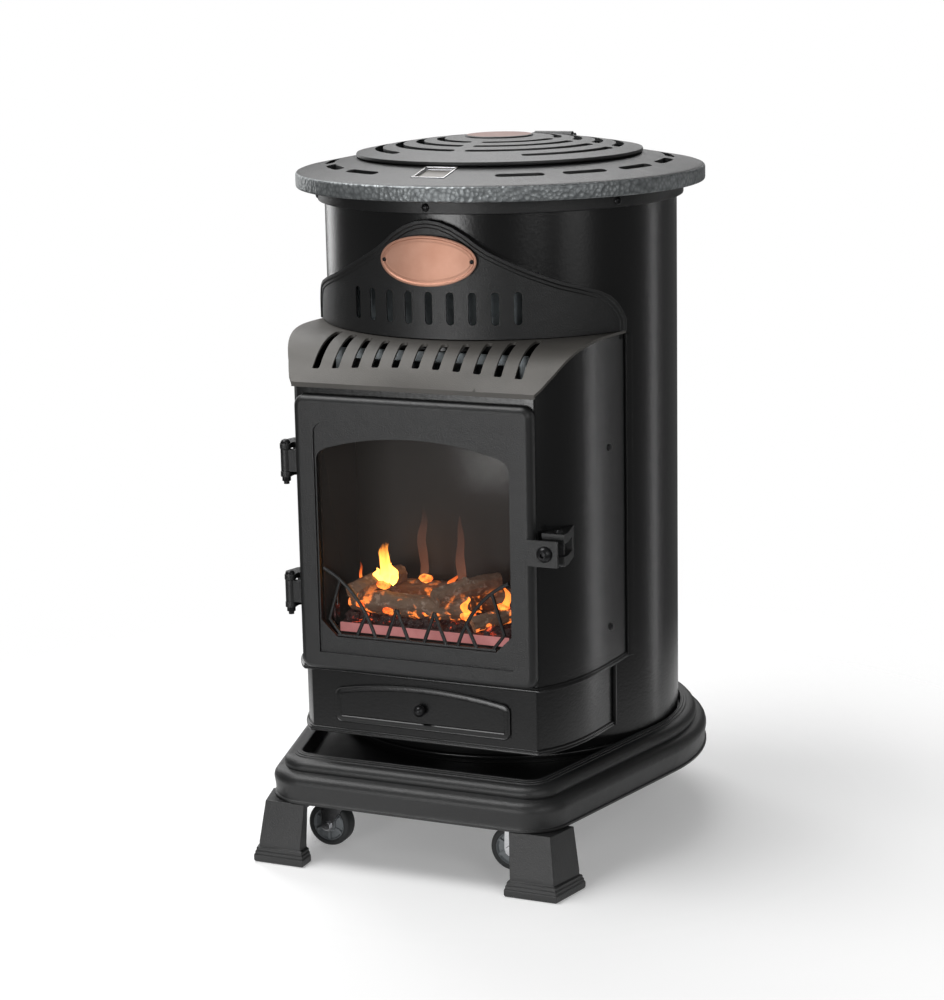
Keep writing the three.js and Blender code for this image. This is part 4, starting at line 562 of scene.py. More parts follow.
def rounded(half, low, high, radius, steps=8):
    """Outline of an upright panel with round corners, in front view."""
    points = []
    for cx, cz, start in ((half - radius, low + radius, -90), (half - radius, high - radius, 0),
                          (radius - half, high - radius, 90), (radius - half, low + radius, 180)):
        for i in range(steps + 1):
            a = radians(start + 90 * i / steps)
            points.append((cx + radius * cos(a), cz + radius * sin(a)))
    return points


def screw_head(radius, height, cross=True):
    """A pan head standing on Z = 0 with a cross recess."""
    crown = [(0, 1), (0.45, 0.96), (0.8, 0.7), (0.97, 0.3)]
    profile = [(radius * r, height * z) for r, z in crown]
    head = turned(profile + [(radius, 0.1), (radius, -0.6), (0, -0.6)], 28)
    if not cross:
        return head
    arm, thin = radius * 0.55, radius * 0.13
    tools = [block(-arm, arm, -thin, thin, height * 0.45, height + 1),
             block(-thin, thin, -arm, arm, height * 0.45, height + 1)]
    return carved(head, tools)


def studs(azimuths, radius, z, size, cross=True):
    """Screw heads that stand out from the drum."""
    heads = []
    for azimuth in azimuths:
        head = screw_head(*size, cross)
        heads.append(aimed(head, (*polar(radius, azimuth), z), (*polar(1, azimuth), 0)))
    return joined(heads)


# ---------- base casting ----------
BASE_FRONT, BASE_CORNER, BASE_CORNER_R, BASE_REAR = 297, 163.5, 48, 229
CASTOR_AT = {"front_left": (-110, -226), "front_right": (110, -226),
             "rear_left": (-56, 166), "rear_right": (56, 166)}
PAD_X, PAD_Y = 23, 21         # half the size of a castor's plate and of the pad above it


def base_plan(inset, corner_steps=16, rear_steps=60):
    """The base's outline from its front's right end round the back, at an inset from its widest line."""
    reach = hypot(BASE_CORNER, BASE_FRONT)
    along = atan2(-BASE_FRONT, BASE_CORNER) + acos(BASE_REAR / reach)
    radius = max(BASE_CORNER_R - inset, 6)
    rear = BASE_REAR - inset
    cy = -(BASE_FRONT - inset) + radius
    cx = (rear - radius - sin(along) * cy) / cos(along)
    right = []
    for i in range(corner_steps + 1):
        a = -pi / 2 + (along + pi / 2) * i / corner_steps
        right.append((cx + radius * cos(a), cy + radius * sin(a)))
    for i in range(rear_steps):
        a = along + (pi / 2 - along) * i / rear_steps
        right.append((rear * cos(a), rear * sin(a)))
    return right + [(0, rear)] + [(-x, y) for x, y in reversed(right)]


def lofted(rows, plan):
    """A closed body run up an outline row by row; each row is (inset, height)."""
    bm = bmesh.new()
    inset, z = rows[0]
    verts = [bm.verts.new((x, y, z)) for x, y in plan(inset)]
    edges = [bm.edges.new((a, b)) for a, b in zip(verts, verts[1:] + verts[:1])]
    bm.faces.new(verts)
    for inset, z in rows[1:]:
        made = ops.extrude_edge_only(bm, edges=edges)["geom"]
        ring = [g for g in made if isinstance(g, bmesh.types.BMVert)]
        edges = [g for g in made if isinstance(g, bmesh.types.BMEdge)]
        for vert, (x, y) in zip(ring, plan(inset)):
            vert.co = (x, y, z)
    bm.faces.new(ring)
    return outward(bm)


def base_casting():
    rows = [(0.6, 68.5), (0, 69.1), (0, 70.9), (0.5, 71.6), (1.5, 72.1), (1.8, 73.2), (1.7, 76), (1.3, 81),
            (0.7, 85), (0.2, 88.4), (0.2, 90.8), (0.9, 93.5), (2.4, 96.1), (4.7, 98.3), (7.7, 99.8),
            (11.2, 100.7), (12.6, 101.5), (12.2, 102.8), (11.8, 104.6), (12.0, 106.6), (13, 108.9),
            (14.8, 111), (17.4, 112.6), (20.4, 113.4), (22.6, 113.7), (23.3, 114.0), (23.6, 114.9),
            (24.2, 115.2), (26.0, 115.3), (26.4, 116.1), (27.0, 116.4), (28.6, 116.5), (29.0, 117.0),
            (29.6, 117.2), (31.4, 117.2), (32.1, 116.8), (33.4, 113.5), (34.5, 100)]
    shell = lofted(rows, base_plan)
    hollow = lofted([(5, 60), (5, 68.5), (7, 88), (14, 96)], lambda inset: base_plan(inset, 8, 30))
    seat = rod((0, 0, 100), (0, 0, 125), 199.3, 120)
    pads = []
    for corner in ("front_left", "rear_left", "front_right", "rear_right"):
        x, y = CASTOR_AT[corner]
        pads.append(block(x - PAD_X, x + PAD_X, y - PAD_Y, y + PAD_Y, 72, 99))
    body = carved(carved(shell, [hollow, seat]), pads, "UNION")
    piece("base_moulding", body, CAST, stands_for="base_casting", smooth=28)


base_casting()
for corner in CORNERS:
    refined(f"foot_{corner}", CAST, width=0.9)


# ---------- castors ----------
TRAIL = 12                    # from the swivel's axis to the wheel's
AXLE_Z = 25


def castor(corner):
    x, y = CASTOR_AT[corner]
    hub_x = x - TRAIL
    swivel, wheel = f"castor_{corner}_swivel", f"castor_{corner}_wheel"
    tread = [(18.6, -9.1), (20.4, -9.6), (22.4, -9.4), (24.1, -8.2), (24.9, -6.2), (25, -3)]
    tyre = turned(mirrored(tread) + [(18.2, 7), (18.2, -7)], 96)
    aimed(tyre, (hub_x, y, AXLE_Z), (0, 1, 0))
    piece(f"castor_tyre_{corner}", tyre, RUBBER, wheel, f"castor_wheel_{corner}")
    hub = turned(mirrored([(3.08, -10), (7.4, -10), (8, -9.4), (8.6, -6.8), (10, -6.2), (16.2, -6.2),
                           (17.2, -7.2), (18.0, -8.6), (18.5, -8.6), (18.1, -7)]), 64)
    spokes = [block(-1.6, 1.6, 9, 17, -8.4, 8.4) for _ in range(6)]
    for i, spoke in enumerate(spokes):
        turn = Matrix.Rotation(radians(60 * i), 3, "Z")
        ops.rotate(spoke, cent=(0, 0, 0), matrix=turn, verts=spoke.verts)
    hub = softened(carved(hub, spokes, "UNION"), 0.4, 1)
    aimed(hub, (hub_x, y, AXLE_Z), (0, 1, 0))
    piece(f"castor_hub_{corner}", hub, HUB, wheel)

    cheek = [(-17.5, 59.5), (-15, 61.3), (15, 61.3), (17.5, 59.5), (16.5, 54), (6, 44), (-3, 31),
             (-6.4, 20.4), (-9.6, 18.2), (-14.4, 18.2), (-17.6, 20.4), (-19, 26), (-18.6, 40)]
    sides = []
    for way in (-1, 1):
        near, far = sorted((way * 11, way * 13))
        sides.append(slab([(x + a, b) for a, b in cheek], y + near, y + far, across=True))
    crown = turned([(0, 59.3), (15, 59.3), (17, 60), (17.6, 61.4), (17, 63), (15.5, 64.2), (15.5, 66),
                    (16.6, 67.2), (16.6, 68.3), (15.4, 68.9), (6, 68.9), (6, 71.7), (0, 71.7)], 56)
    moved(crown, (x, y, 0))
    web = block(x - 16, x + 16, y - 13, y + 13, 59.3, 61.3)
    fork = softened(carved(crown, [web, *sides], "UNION"), 0.35, 1)

    def on_axle(start, end, radius, facets):
        return rod((hub_x, y + start, AXLE_Z), (hub_x, y + end, AXLE_Z), radius, facets)

    nuts = [softened(on_axle(way * 13, way * 16.2, 5.4, 6), 0.5, 2) for way in (-1, 1)]
    yoke = joined([fork, on_axle(-15.5, 15.5, 3, 24), *nuts])
    piece(f"castor_yoke_{corner}", yoke, BRIGHT, swivel, f"castor_fork_{corner}")

    corners = ((-PAD_X, -PAD_Y), (PAD_X, -PAD_Y), (PAD_X, PAD_Y), (-PAD_X, PAD_Y))
    plate = slab([(x + a, y + b) for a, b in corners], 69.2, 71.7)
    bevelled(plate, [e for e in plate.edges if abs(e.verts[0].co.z - e.verts[1].co.z) > 1], 5, 5)
    plate = softened(carved(plate, [rod((x, y, 60), (x, y, 80), 6.6, 32)]), 0.4, 2)
    bolts = []
    for a in (-17.5, 17.5):
        for b in (-15.5, 15.5):
            bolts.append(softened(rod((x + a, y + b, 66.4), (x + a, y + b, 69.15), 4.2, 6), 0.4, 1))
    piece(f"castor_plate_{corner}", joined([plate, *bolts]), BRIGHT)


for corner in CORNERS:
    castor(corner)


# ---------- drum ----------
refined("drum_shell", ENAMEL)
refined("rear_door", ENAMEL, "rear_door", width=0.4)
for end in ("lower", "upper"):
    refined(f"rear_hinge_{end}", BOLT, width=0.3)
refined("rear_door_pull", PLASTIC, "rear_door", width=1.2, segments=3)
ring = turned([(0, 108.7), (186, 108.7), (186, 100.3), (192, 100.3), (192, 104.6), (193, 105.2),
               (197.4, 106.2), (198.3, 106.9), (198.5, 108), (198.5, 109.8), (197.9, 110.9), (196.5, 111.7),
               (0, 111.7)], 160)
piece("drum_floor_ring", ring, ENAMEL, stands_for="drum_floor")

COLLAR_R = 204
collar = turned([(186, 703), (202.6, 703), (203.6, 703.5), (COLLAR_R, 704.6), (COLLAR_R, 716.6),
                 (203.4, 717.2), (198.4, 717.2), (198, 716.8), (198, 704.5), (186, 704.5)], 180)
piece("collar_band", collar, CAST, stands_for="collar_ring")
piece("collar_screws", studs(range(0, 360, 60), COLLAR_R, 710, (4.4, 2.4)), BOLT)


# ---------- top casting ----------
SLOPE = 0.19
LID_PIN_Y, LID_PIN_Z = 167, 754


def cone(radius):
    """Height of the top casting's sloping face."""
    return 735 + (226 - radius) * SLOPE


FINGER_PLACE = Matrix.Translation((0, -178, cone(178))) @ Matrix.Rotation(atan(SLOPE), 4, "X")


def lid_pin(reach, radius, sides):
    """A bar along the lid's hinge, or between two points of it."""
    start, end = reach
    return rod((start, LID_PIN_Y, LID_PIN_Z), (end, LID_PIN_Y, LID_PIN_Z), radius, sides)


def top_casting():
    face = [(r, cone(r)) for r in (152.8, 158, 175, 190, 206, 222.4)]
    profile = [(152.3, cone(152) - 6.6), (152, cone(152) - 6), (152, cone(152) - 0.8), *face,
               (224.6, 734.9), (226.4, 734.2), (227.6, 733), (228, 731.4), (228, 720.6), (227.7, 719),
               (226.8, 718), (225.4, 717.5), (196.5, 717.5), (196, 718), (196, 723.5), (214, 725.5),
               (214, cone(214) - 7)]
    plate = turned(profile, 200)
    tools = []
    for middle in range(29, 140, 22):
        for side in (-1, 1):
            tools.append(arc_slot(189, 11, side * middle - 8, side * middle + 8, 722, 760, 10))
    seat = posed(block(-19.4, 19.4, -20.4, 20.4, -30, 30), FINGER_PLACE)
    plate = carved(plate, [*tools, seat])
    lugs = []
    for side in (-1, 1):
        x0, x1 = sorted((side * 14.3, side * 23.3))
        lugs.append(block(x0, x1, 161, 173, cone(175) - 2, LID_PIN_Z))
        lugs.append(lid_pin((x0, x1), 6, 32))
    plate = carved(plate, lugs, "UNION")
    plate = softened(carved(plate, [lid_pin((-40, 40), 2.6, 24)]), 0.7, 2, 38)
    painted(plate, lambda face, at: hypot(at.x, at.y) > 226 and 718 < at.z < 734.6)
    # the rim's faces take the finish with the painted sheen
    piece("top_casting", plate, [CAST, SHEEN_RIM], stands_for="top_plate")


top_casting()


def finger_plate():
    dish = block(-16.4, 16.4, -17.4, 17.4, -2.2, 4)
    body = softened(carved(block(-19, 19, -20, 20, -4, 0.8), [dish]), 0.5, 2)
    painted(body, lambda face, at: abs(at.x) < 15.5 and abs(at.y) < 16.5 and face.normal.z > 0.9)
    posed(body, FINGER_PLACE)
    piece("finger_dish", body, [BRIGHT, SATIN], stands_for="finger_plate")


finger_plate()
refined("heat_deflector", ZINC)


def lid():
    """The domed grille; its upper skin starts at 769 mm and its lower one at 765 mm."""
    def dome(r, top=769.0):
        return top - 16 * (r / 159.5) ** 2

    outer = [(158 * i / 12, dome(158 * i / 12)) for i in range(13)]
    edge = [(159, 753.2), (159.5, 752.2), (159.5, 750.6), (159.1, 749.8), (158.2, 749.5), (147.5, 749.5)]
    inner = [(146.5 * i / 10, dome(146.5 * i / 10, 765.0)) for i in range(10, -1, -1)]
    body = turned(outer + edge + inner, 180)
    tools = []
    for radius in (65, 88, 111, 134):
        rib = degrees(asin(6 / radius))
        low = max(rib, degrees(acos(113 / radius)) if radius > 113 else 0)
        for side in (-1, 1):
            for a, b in ((low, 90 - rib), (90 + rib, 180 - low - rib / 2)):
                a0, a1 = (a, b) if side > 0 else (-b, -a)
                tools.append(arc_slot(radius, 9, a0, a1, 740, 790, 26))
    arm = block(-14, 14, 151.5, LID_PIN_Y, 750, 756)
    boss = turned([(0, 770), (36, 770), (37.4, 769.6), (38, 768.6), (38, 765), (0, 765)], 96)
    body = carved(carved(body, tools), [arm, lid_pin((-14, 14), 6, 36), boss], "UNION")
    body = softened(carved(body, [lid_pin((-20, 20), 2.6, 24)]), 0.8, 2, 38)
    painted(body, lambda face, at: hypot(at.x, at.y) < 36.5 and at.z > 768.5)
    piece("lid_grille", body, [CAST, BLOOM], "lid", "lid")


lid()
refined("lid_hinge_pin", BOLT, width=0.5)

# ---------- controls ----------
refined("control_pan", ZINC)
refined("gas_valve", BRASS, width=0.6)
refined("gas_inlet_nozzle", BRASS, width=0.2)
refined("igniter_body", PLASTIC, width=0.4)
refined("igniter_button", RED, "igniter_button", width=1.0, segments=3)
refined("control_knob", PLASTIC, "control_knob", width=0.8, segments=3)
refined("supply_pipe", BRASS)


# ---------- upper front casting and badge ----------
BIB_R = 204.7
BIB_FOOT = 560
BADGE_Z = 654
OGEE = [(0, 697), (14, 695.2), (28, 690), (42, 681.5), (55, 671), (66, 663.5), (78, 657), (91, 650),
        (105, 643), (119, 636.5), (133, 630), (149, 624), (164, 617), (171.5, 611), (176, 604), (180, 594),
        (182.5, 584)]


def wrapped(bm, step, reach, radius):
    """Cuts a flat body, its face at y = 0, into strips and bends it round the drum."""
    count = int(reach / step)
    for i in range(-count, count + 1):
        geometry = bm.verts[:] + bm.edges[:] + bm.faces[:]
        ops.bisect_plane(bm, geom=geometry, dist=1e-4, plane_co=(i * step, 0, 0), plane_no=(1, 0, 0))
    for vert in bm.verts:
        turn = vert.co.x / BIB_R
        r = radius - vert.co.y
        vert.co = (r * sin(turn), -r * cos(turn), vert.co.z)
    return outward(bm)


def unrolled(x):
    """Length round the drum for a distance across it."""
    return BIB_R * asin(min(x / BIB_R, 0.999))


def upper_casting():
    half = [(unrolled(x), z) for x, z in OGEE]
    wide = half[-1][0]
    outline = [(-wide, BIB_FOOT), (wide, BIB_FOOT)] + half[::-1] + [(-x, z) for x, z in half[1:]]
    panel = slab(outline, 0, 7.9, across=True)
    stepped(panel, ((3.2, 0), (1.4, -1.3), (2.6, 0), (1.2, -0.9)))
    tools = [block(-400, 400, -30, 60, 500, 571)]
    for i in range(9):
        x = radians((i - 4) * 6.85) * BIB_R
        tools.append(slab(stadium(x, 586, 621, 4.25), -5, 20, across=True))
    hollow = [(x - (7 if z < 612 else 0), z - 7) for x, z in half]
    outline = [(7 - wide, BIB_FOOT), (wide - 7, BIB_FOOT)] + hollow[::-1] + [(-x, z) for x, z in hollow[1:]]
    panel = carved(panel, [*tools, slab(outline, 4, 30, across=True)])
    panel = wrapped(softened(panel, 0.6, 2, 30), 4.5, wide, BIB_R)
    piece("upper_casting", panel, CAST, stands_for="upper_front_casting", smooth=32)


upper_casting()
refined("convection_baffle", ZINC)


def badge():
    """A bare copper oval with a rolled rim and a fine bead line, held by two rivets."""
    outline = []
    for i in range(96):
        a = 2 * pi * i / 96
        outline.append((55 * cos(a), BADGE_Z + 26.8 * sin(a)))
    plate = slab(outline, 0, 2.6, across=True)
    stepped(plate, ((0.8, 0.5), (1.5, 0.0), (1.1, -1.2), (2.2, 0.0), (0.5, 0.35), (0.7, 0.0), (0.5, -0.35)))
    face_r = BIB_R + 2.9
    piece("badge_oval", wrapped(plate, 3, 60, face_r), COPPER, stands_for="badge_plate")
    piece("badge_rivets", studs((-14, 14), face_r, BADGE_Z, (2.2, 1.6), cross=False), BOLT)


badge()


# ---------- hood ----------
LIP_X, LIP_Y, LIP_Z, HOOD_TOP = 139.2, 254, 527, 570


def bezier(p0, p1, p2, p3, t):
    s = 1 - t
    return tuple(s ** 3 * a + 3 * s * s * t * b + 3 * s * t * t * c + t ** 3 * d
                 for a, b, c, d in zip(p0, p1, p2, p3))


def side_line(inset, t):
    """Plan of the casing's right side, front to back."""
    return bezier((138 - inset, -244 + inset), (165 - inset, -212), (173 - inset, -165),
                  (177 - inset, -83), t)


def hood_point(u, v):
    """A point of the hood's top skin; u runs from left to right, v from lip to drum."""
    end = side_line(-1.2, 1)
    reach = atan2(end[0], -end[1])
    radius = hypot(*end)
    bx, by = radius * sin(u * reach), -radius * cos(u * reach)
    sx, sy = side_line(-1.2, v)
    sx += 4.5 * sin(pi * sqrt(v))
    sy = min(sy, -LIP_Y + (end[1] + LIP_Y) * v)
    straight = (LIP_X + (end[0] - LIP_X) * v, -LIP_Y + (end[1] + LIP_Y) * v)
    x = LIP_X * u * (1 - v) + bx * v + (sx - straight[0]) * u * abs(u)
    y = -LIP_Y * (1 - v) + by * v + (sy - straight[1]) * u * u
    rise = 1 - (1 - v) ** (2.1 + 1.6 * u * u)
    crown = 3.5 * u * u * sin(pi * v)
    return x, y, LIP_Z + (HOOD_TOP - LIP_Z) * rise + crown


def hood():
    sheet = bmesh.new()
    ops.create_grid(sheet, x_segments=64, y_segments=28, size=1)
    for vert in sheet.verts:
        vert.co = hood_point(vert.co.x, (vert.co.y + 1) / 2)
    outward(sheet)
    if sum(f.normal.z for f in sheet.faces) < 0:
        ops.reverse_faces(sheet, faces=sheet.faces)
    made = ops.extrude_face_region(sheet, geom=sheet.faces[:])["geom"]
    low = [g for g in made if isinstance(g, bmesh.types.BMVert)]
    ops.translate(sheet, vec=(0, 0, -3), verts=low)
    outward(sheet)
    lip = block(-LIP_X, LIP_X, -LIP_Y, -LIP_Y + 3, LIP_Z - 5, LIP_Z - 1)
    tools = [rod((0, 0, 500), (0, 0, 600), 196.9, 180)]
    for i in range(11):
        x = (i - 5) * 23.3
        back = sqrt((BIB_R + 7) ** 2 - x * x)
        turns = [pi * k / 8 for k in range(9)]
        outline = [(x + 4.25 * cos(a), -back - 4.25 + 4.25 * sin(a)) for a in turns]
        outline += [(x - 4.25, -239), (x - 3.9, -240), (x - 3, -240.5),
                    (x + 3, -240.5), (x + 3.9, -240), (x + 4.25, -239)]
        tools.append(slab(outline, 500, 600))
    body = carved(carved(sheet, [lip], "UNION"), tools)
    body = softened(body, 0.6, 2, 40)
    piece("hood_casting", body, HOOD, stands_for="louvred_hood", smooth=32)


hood()
refined("hood_deflector", ZINC, width=0.3)

# ---------- casing, plinth ----------
refined("firebox_casing", ENAMEL, smooth=30)
refined("plinth_casing", ENAMEL, smooth=30)

CASING_FRONT, CASING_REAR, PLINTH_REAR = -247, -84, -116
CASING_FOOT, CASING_HEAD, PLINTH_FOOT = 207.6, 566, 136.9
PLINTH_INSET = 3.5


def edge_path(inset, rear, steps=30):
    """Plan of the casing's three sides, from its right rear edge round to its left one."""
    line = [side_line(inset, 1 - i / steps) for i in range(steps + 1)]
    right = [(x, max(y, CASING_FRONT + inset)) for x, y in line if y < rear - 0.5]
    right = [(right[0][0], rear)] + right + [(135 - inset, CASING_FRONT + inset)]
    return right + [(-x, y) for x, y in reversed(right)]


def moulding(profile, base, rear):
    """A bead along the casing's foot; the profile is (distance out, height)."""
    bm = bmesh.new()
    rows = []
    for out, z in profile:
        rows.append([bm.verts.new((x, y, z)) for x, y in edge_path(base - out, rear)])
    for near, far in zip(rows, rows[1:] + rows[:1]):
        for a, b, c, d in zip(near, near[1:], far[1:], far):
            bm.faces.new((a, b, c, d))
    bm.faces.new([row[0] for row in rows])
    bm.faces.new([row[-1] for row in reversed(rows)])
    return outward(bm)


def upright_strip(side):
    """A flat strip down the drum where the casing's flange is fastened to it."""
    start, end = 64.7, 66.9
    inner, outer = DRUM_R + 0.3, DRUM_R + 2.6
    outline = [polar(inner, side * start), polar(inner, side * end),
               polar(outer, side * end), polar(outer, side * start)]
    return softened(slab(outline, CASING_FOOT, CASING_HEAD), 0.7, 3)


def upright_bead(side, near, far, *rest):
    """A bar along one upright edge of the casing or plinth."""
    return softened(block(*sorted((side * near, side * far)), *rest), 0.9, 3)


BEAD = [(-0.6, 0), (2.0, 0), (2.6, 0.6), (2.7, 2.0), (2.2, 3.0), (1.5, 3.4), (1.3, 3.9), (1.5, 4.5),
        (1.2, 5.2), (0.5, 5.6), (-0.6, 5.6)]
sides = (-1, 1)
trims = [moulding([(out, CASING_FOOT + z) for out, z in BEAD], 0, CASING_REAR)]
trims += [upright_strip(side) for side in sides]
trims += [upright_bead(side, 176.4, 179.4, -87, -83.6, CASING_FOOT, CASING_HEAD) for side in sides]
piece("casing_edging", joined(trims), ENAMEL, smooth=40)
trims = [moulding([(out, PLINTH_FOOT + z) for out, z in BEAD], PLINTH_INSET, PLINTH_REAR)]
trims += [upright_bead(side, 171.4, 175.6, -117.2, -114.2, PLINTH_FOOT, 207) for side in sides]
piece("plinth_edging", joined(trims), ENAMEL, smooth=40)


def drawer_field(half, low, high, rise, radius):
    """Outline of the drawer front: round corners and a crowned top."""
    def crowned(x, z):
        return x, z + rise * (1 - (x / half) ** 2)

    points = rounded(half, low, high, radius, 5)
    lift = [crowned(x, z) if z > (low + high) / 2 else (x, z) for x, z in points]
    top = [crowned(half * 0.86 * (1 - i / 12), high) for i in range(25)]
    return lift[:12] + top + lift[12:]


panel = slab(drawer_field(103, 150.5, 188.5, 10.5, 7), -246.1, -243.4, across=True)
stepped(panel, ((1.0, -0.7), (1.6, 0.0), (0.8, 0.6), (3.0, 0.0), (0.9, -0.9), (0.4, 0.0)))
piece("drawer_field", panel, ENAMEL, smooth=40)
knob = turned([(0, 0), (4.4, 0), (4.4, 1), (3.4, 1.8), (3.2, 3.4), (4.4, 4.3), (5.7, 6), (6.4, 8),
               (6.4, 9.6), (5.7, 11.6), (4.4, 13.4), (2.4, 14.5), (0, 14.9)], 48)
aimed(knob, (0, -242.1, 174), (0, -1, 0))
piece("drawer_ball", knob, BOLT, stands_for="drawer_knob")

sx, sy = side_line(0, 0.80)
tx, ty = side_line(0, 0.82)
out = Vector((ty - sy, sx - tx, 0)).normalized()
screws = [aimed(screw_head(4.0, 2.2), (side * sx, sy, z), (side * out.x, out.y, 0))
          for side in (-1, 1) for z in (252, 450)]
piece("casing_screws", joined(screws), BOLT)


# ---------- door ----------
DOOR_FRONT, DOOR_BACK = 259, 247.6
HINGE_X, HINGE_Y = -149.5, -252.5
HINGE_ZS = {"upper": 441, "lower": 296}
LATCH_X, LATCH_Z = 151, 362
PANE_FRONT, PANE_BACK = -251.1, -247.9


def quad_curve(a, b, c, steps):
    return [tuple((1 - t) ** 2 * p + 2 * (1 - t) * t * q + t * t * r for p, q, r in zip(a, b, c))
            for t in (i / steps for i in range(1, steps + 1))]


def arch(half, low, shoulder, top, grow=0.0, chamfer=0.0, steps=14):
    """The arched outline that the door's panel, opening and rebate share."""
    x, z0, z1, z2 = half + grow, low - grow, shoulder + grow, top + grow
    points = [(-x + chamfer, z0), (x - chamfer, z0)]
    if chamfer:
        points.append((x, z0 + chamfer))
    points.append((x, z1 - 4))
    points += quad_curve((x, z1 - 4), (x, z1 + 6), (x - 16, z1 + 10), steps)
    points += quad_curve((x - 16, z1 + 10), (x * 0.45, z2), (0, z2), steps)
    points += quad_curve((0, z2), (-x * 0.45, z2), (-x + 16, z1 + 10), steps)
    points += quad_curve((-x + 16, z1 + 10), (-x, z1 + 6), (-x, z1 - 4), steps)
    if chamfer:
        points.append((-x, z0 + chamfer))
    return points


OPENING = (111, 250, 449, 472)
PANEL = (113, 232, 478, 490)


def door():
    leaf = slab(rounded(136.7, 211.6, 514, 12), -DOOR_FRONT, -DOOR_BACK, across=True)
    bevelled(leaf, list(front_of(leaf).edges), 7.5, 7)
    recess = slab(arch(*PANEL), -DOOR_FRONT - 5, -DOOR_FRONT + 2.2, across=True)
    opening = slab(arch(*OPENING, 0, 18), -DOOR_FRONT - 5, -DOOR_BACK + 5, across=True)
    rebate = slab(arch(*OPENING, 8), -252.3, -DOOR_BACK + 5, across=True)
    body = carved(leaf, [recess, opening, rebate])
    extra, holes = [], []
    for z in HINGE_ZS.values():
        extra.append(block(HINGE_X, -131.7, HINGE_Y - 3, HINGE_Y + 3, z - 12, z + 12))
        extra.append(rod((HINGE_X, HINGE_Y, z - 12), (HINGE_X, HINGE_Y, z + 12), 5.6, 40))
        holes.append(rod((HINGE_X, HINGE_Y, z - 20), (HINGE_X, HINGE_Y, z + 20), 3.1, 24))
    for far, back in ((165, -258), (136.7, -256)):
        extra.append(block(130.7, far, -261, back, LATCH_Z - 14, LATCH_Z + 14))
    body = carved(body, extra, "UNION")
    holes.append(rod((LATCH_X, -270, LATCH_Z), (LATCH_X, -250, LATCH_Z), 4.1, 24))
    body = softened(carved(body, holes), 0.7, 3, 40)
    piece("door_frame", body, CAST, DOOR, "door_casting")


door()


def window_ring(outer, inner, near, far, name, finish, stands_for=()):
    """A flat ring round the window; outer and inner are how far it grows past the opening."""
    body = slab(arch(*OPENING, outer), near, far, across=True)
    body = carved(body, [slab(arch(*OPENING, inner), near - 3, far + 3, across=True)])
    piece(name, softened(body, 0.25, 1), finish, DOOR, stands_for)


window_ring(7.7, 1, -252.15, -251.25, "glass_rope", ROPE)
window_ring(7, 0, -247.6, -245.1, "glass_clamp", SOOT, "glass_retainer")
pane = slab(arch(*OPENING, 7), PANE_FRONT, PANE_BACK, across=True)
piece("window_pane", softened(pane, 0.4, 2), GLASS, DOOR, "door_glass")


def swept(points, radius, sides):
    """A rod that follows points, as one mesh."""
    curve = bpy.data.curves.new("work", "CURVE")
    curve.dimensions = "3D"
    curve.bevel_depth = radius
    curve.bevel_resolution = max(1, sides // 4 - 1)
    curve.use_fill_caps = True
    line = curve.splines.new("POLY")
    line.points.add(len(points) - 1)
    for point, co in zip(line.points, points):
        point.co = (*co, 1)
    thing = linked("work", curve)
    bpy.context.view_layer.update()
    mesh = bpy.data.meshes.new_from_object(thing.evaluated_get(bpy.context.evaluated_depsgraph_get()))
    bm = bmesh.new()
    bm.from_mesh(mesh)
    ops.remove_doubles(bm, verts=bm.verts, dist=1e-3)
    bpy.data.objects.remove(thing)
    bpy.data.curves.remove(curve)
    bpy.data.meshes.remove(mesh)
    return outward(bm)


def log_guard():
    """Thin bars before the window's foot: two bows and, between and outside them, slanting strokes."""
    y, floor = -254.2, 252.3
    bars = []

    def stroke(points):
        bars.append(swept([(x, y, z) for x, z in points], 2.0, 16))

    for s in (-1, 1):
        bend = quad_curve((107.7, 325), (66, 306), (48, floor), 16)
        arc = [(s * x, z) for x, z in [(107.7, 325), *bend]]
        stroke(arc)
        stroke([(s * 22, 286), (s * 9, floor)])
        stroke([(s * 22, 286), (s * 35, floor)])
        stroke([arc[12], (s * 70, floor)])
        stroke([arc[4], (s * 102, 269), (s * 89, floor)])
    rail = softened(block(-92.7, 92.7, y - 2, y + 2, 250.3, 253.3), 0.8, 2)
    piece("guard_tracery", joined([*bars, rail]), CAST, DOOR, "log_guard")


log_guard()

# ---------- hinges and latch ----------
for end in ("upper", "lower"):
    refined(f"door_hinge_bracket_{end}", CAST, width=0.7)


def dome_bolt(x, y, low, high, shaft, head, name, stands_for):
    """An upright bolt with a domed head on top and a hexagon nut below."""
    stem = rod((x, y, low - 8), (x, y, high + 1), shaft, 28)
    dome = [(0, 4.4), (0.4, 4.2), (0.75, 3.2), (0.97, 1.4), (1, 0.3), (0, 0.3)]
    top = moved(turned([(head * r, high + rise) for r, rise in dome], 40), (x, y, 0))
    nut = softened(rod((x, y, low - 5), (x, y, low - 0.3), 4.8, 6), 0.5, 2)
    piece(name, joined([stem, top, nut]), BOLT, stands_for=stands_for)


for end, z in HINGE_ZS.items():
    dome_bolt(HINGE_X, HINGE_Y, z - 18.3, z + 18.3, 3, 5.4, f"hinge_bolt_{end}", f"door_hinge_bolt_{end}")
refined("latch_bracket", CAST, width=0.8)
refined("latch_pin", BOLT, width=0.4)


dome = turned([(0, 6.6), (3.4, 6.4), (5.8, 5.4), (7.5, 3.7), (8.4, 1.6), (8.5, 0.4), (8.2, 0), (4, 0),
               (4, -8.3), (0, -8.3)], 56)
screw = softened(carved(dome, [rod((0, 0, 2.6), (0, 0, 9), 3.1, 6)]), 0.3, 2, 40)
aimed(screw, (LATCH_X, -261.3, LATCH_Z), (0, -1, 0))
piece("latch_dome", screw, BOLT, "latch_screw", "latch_screw")

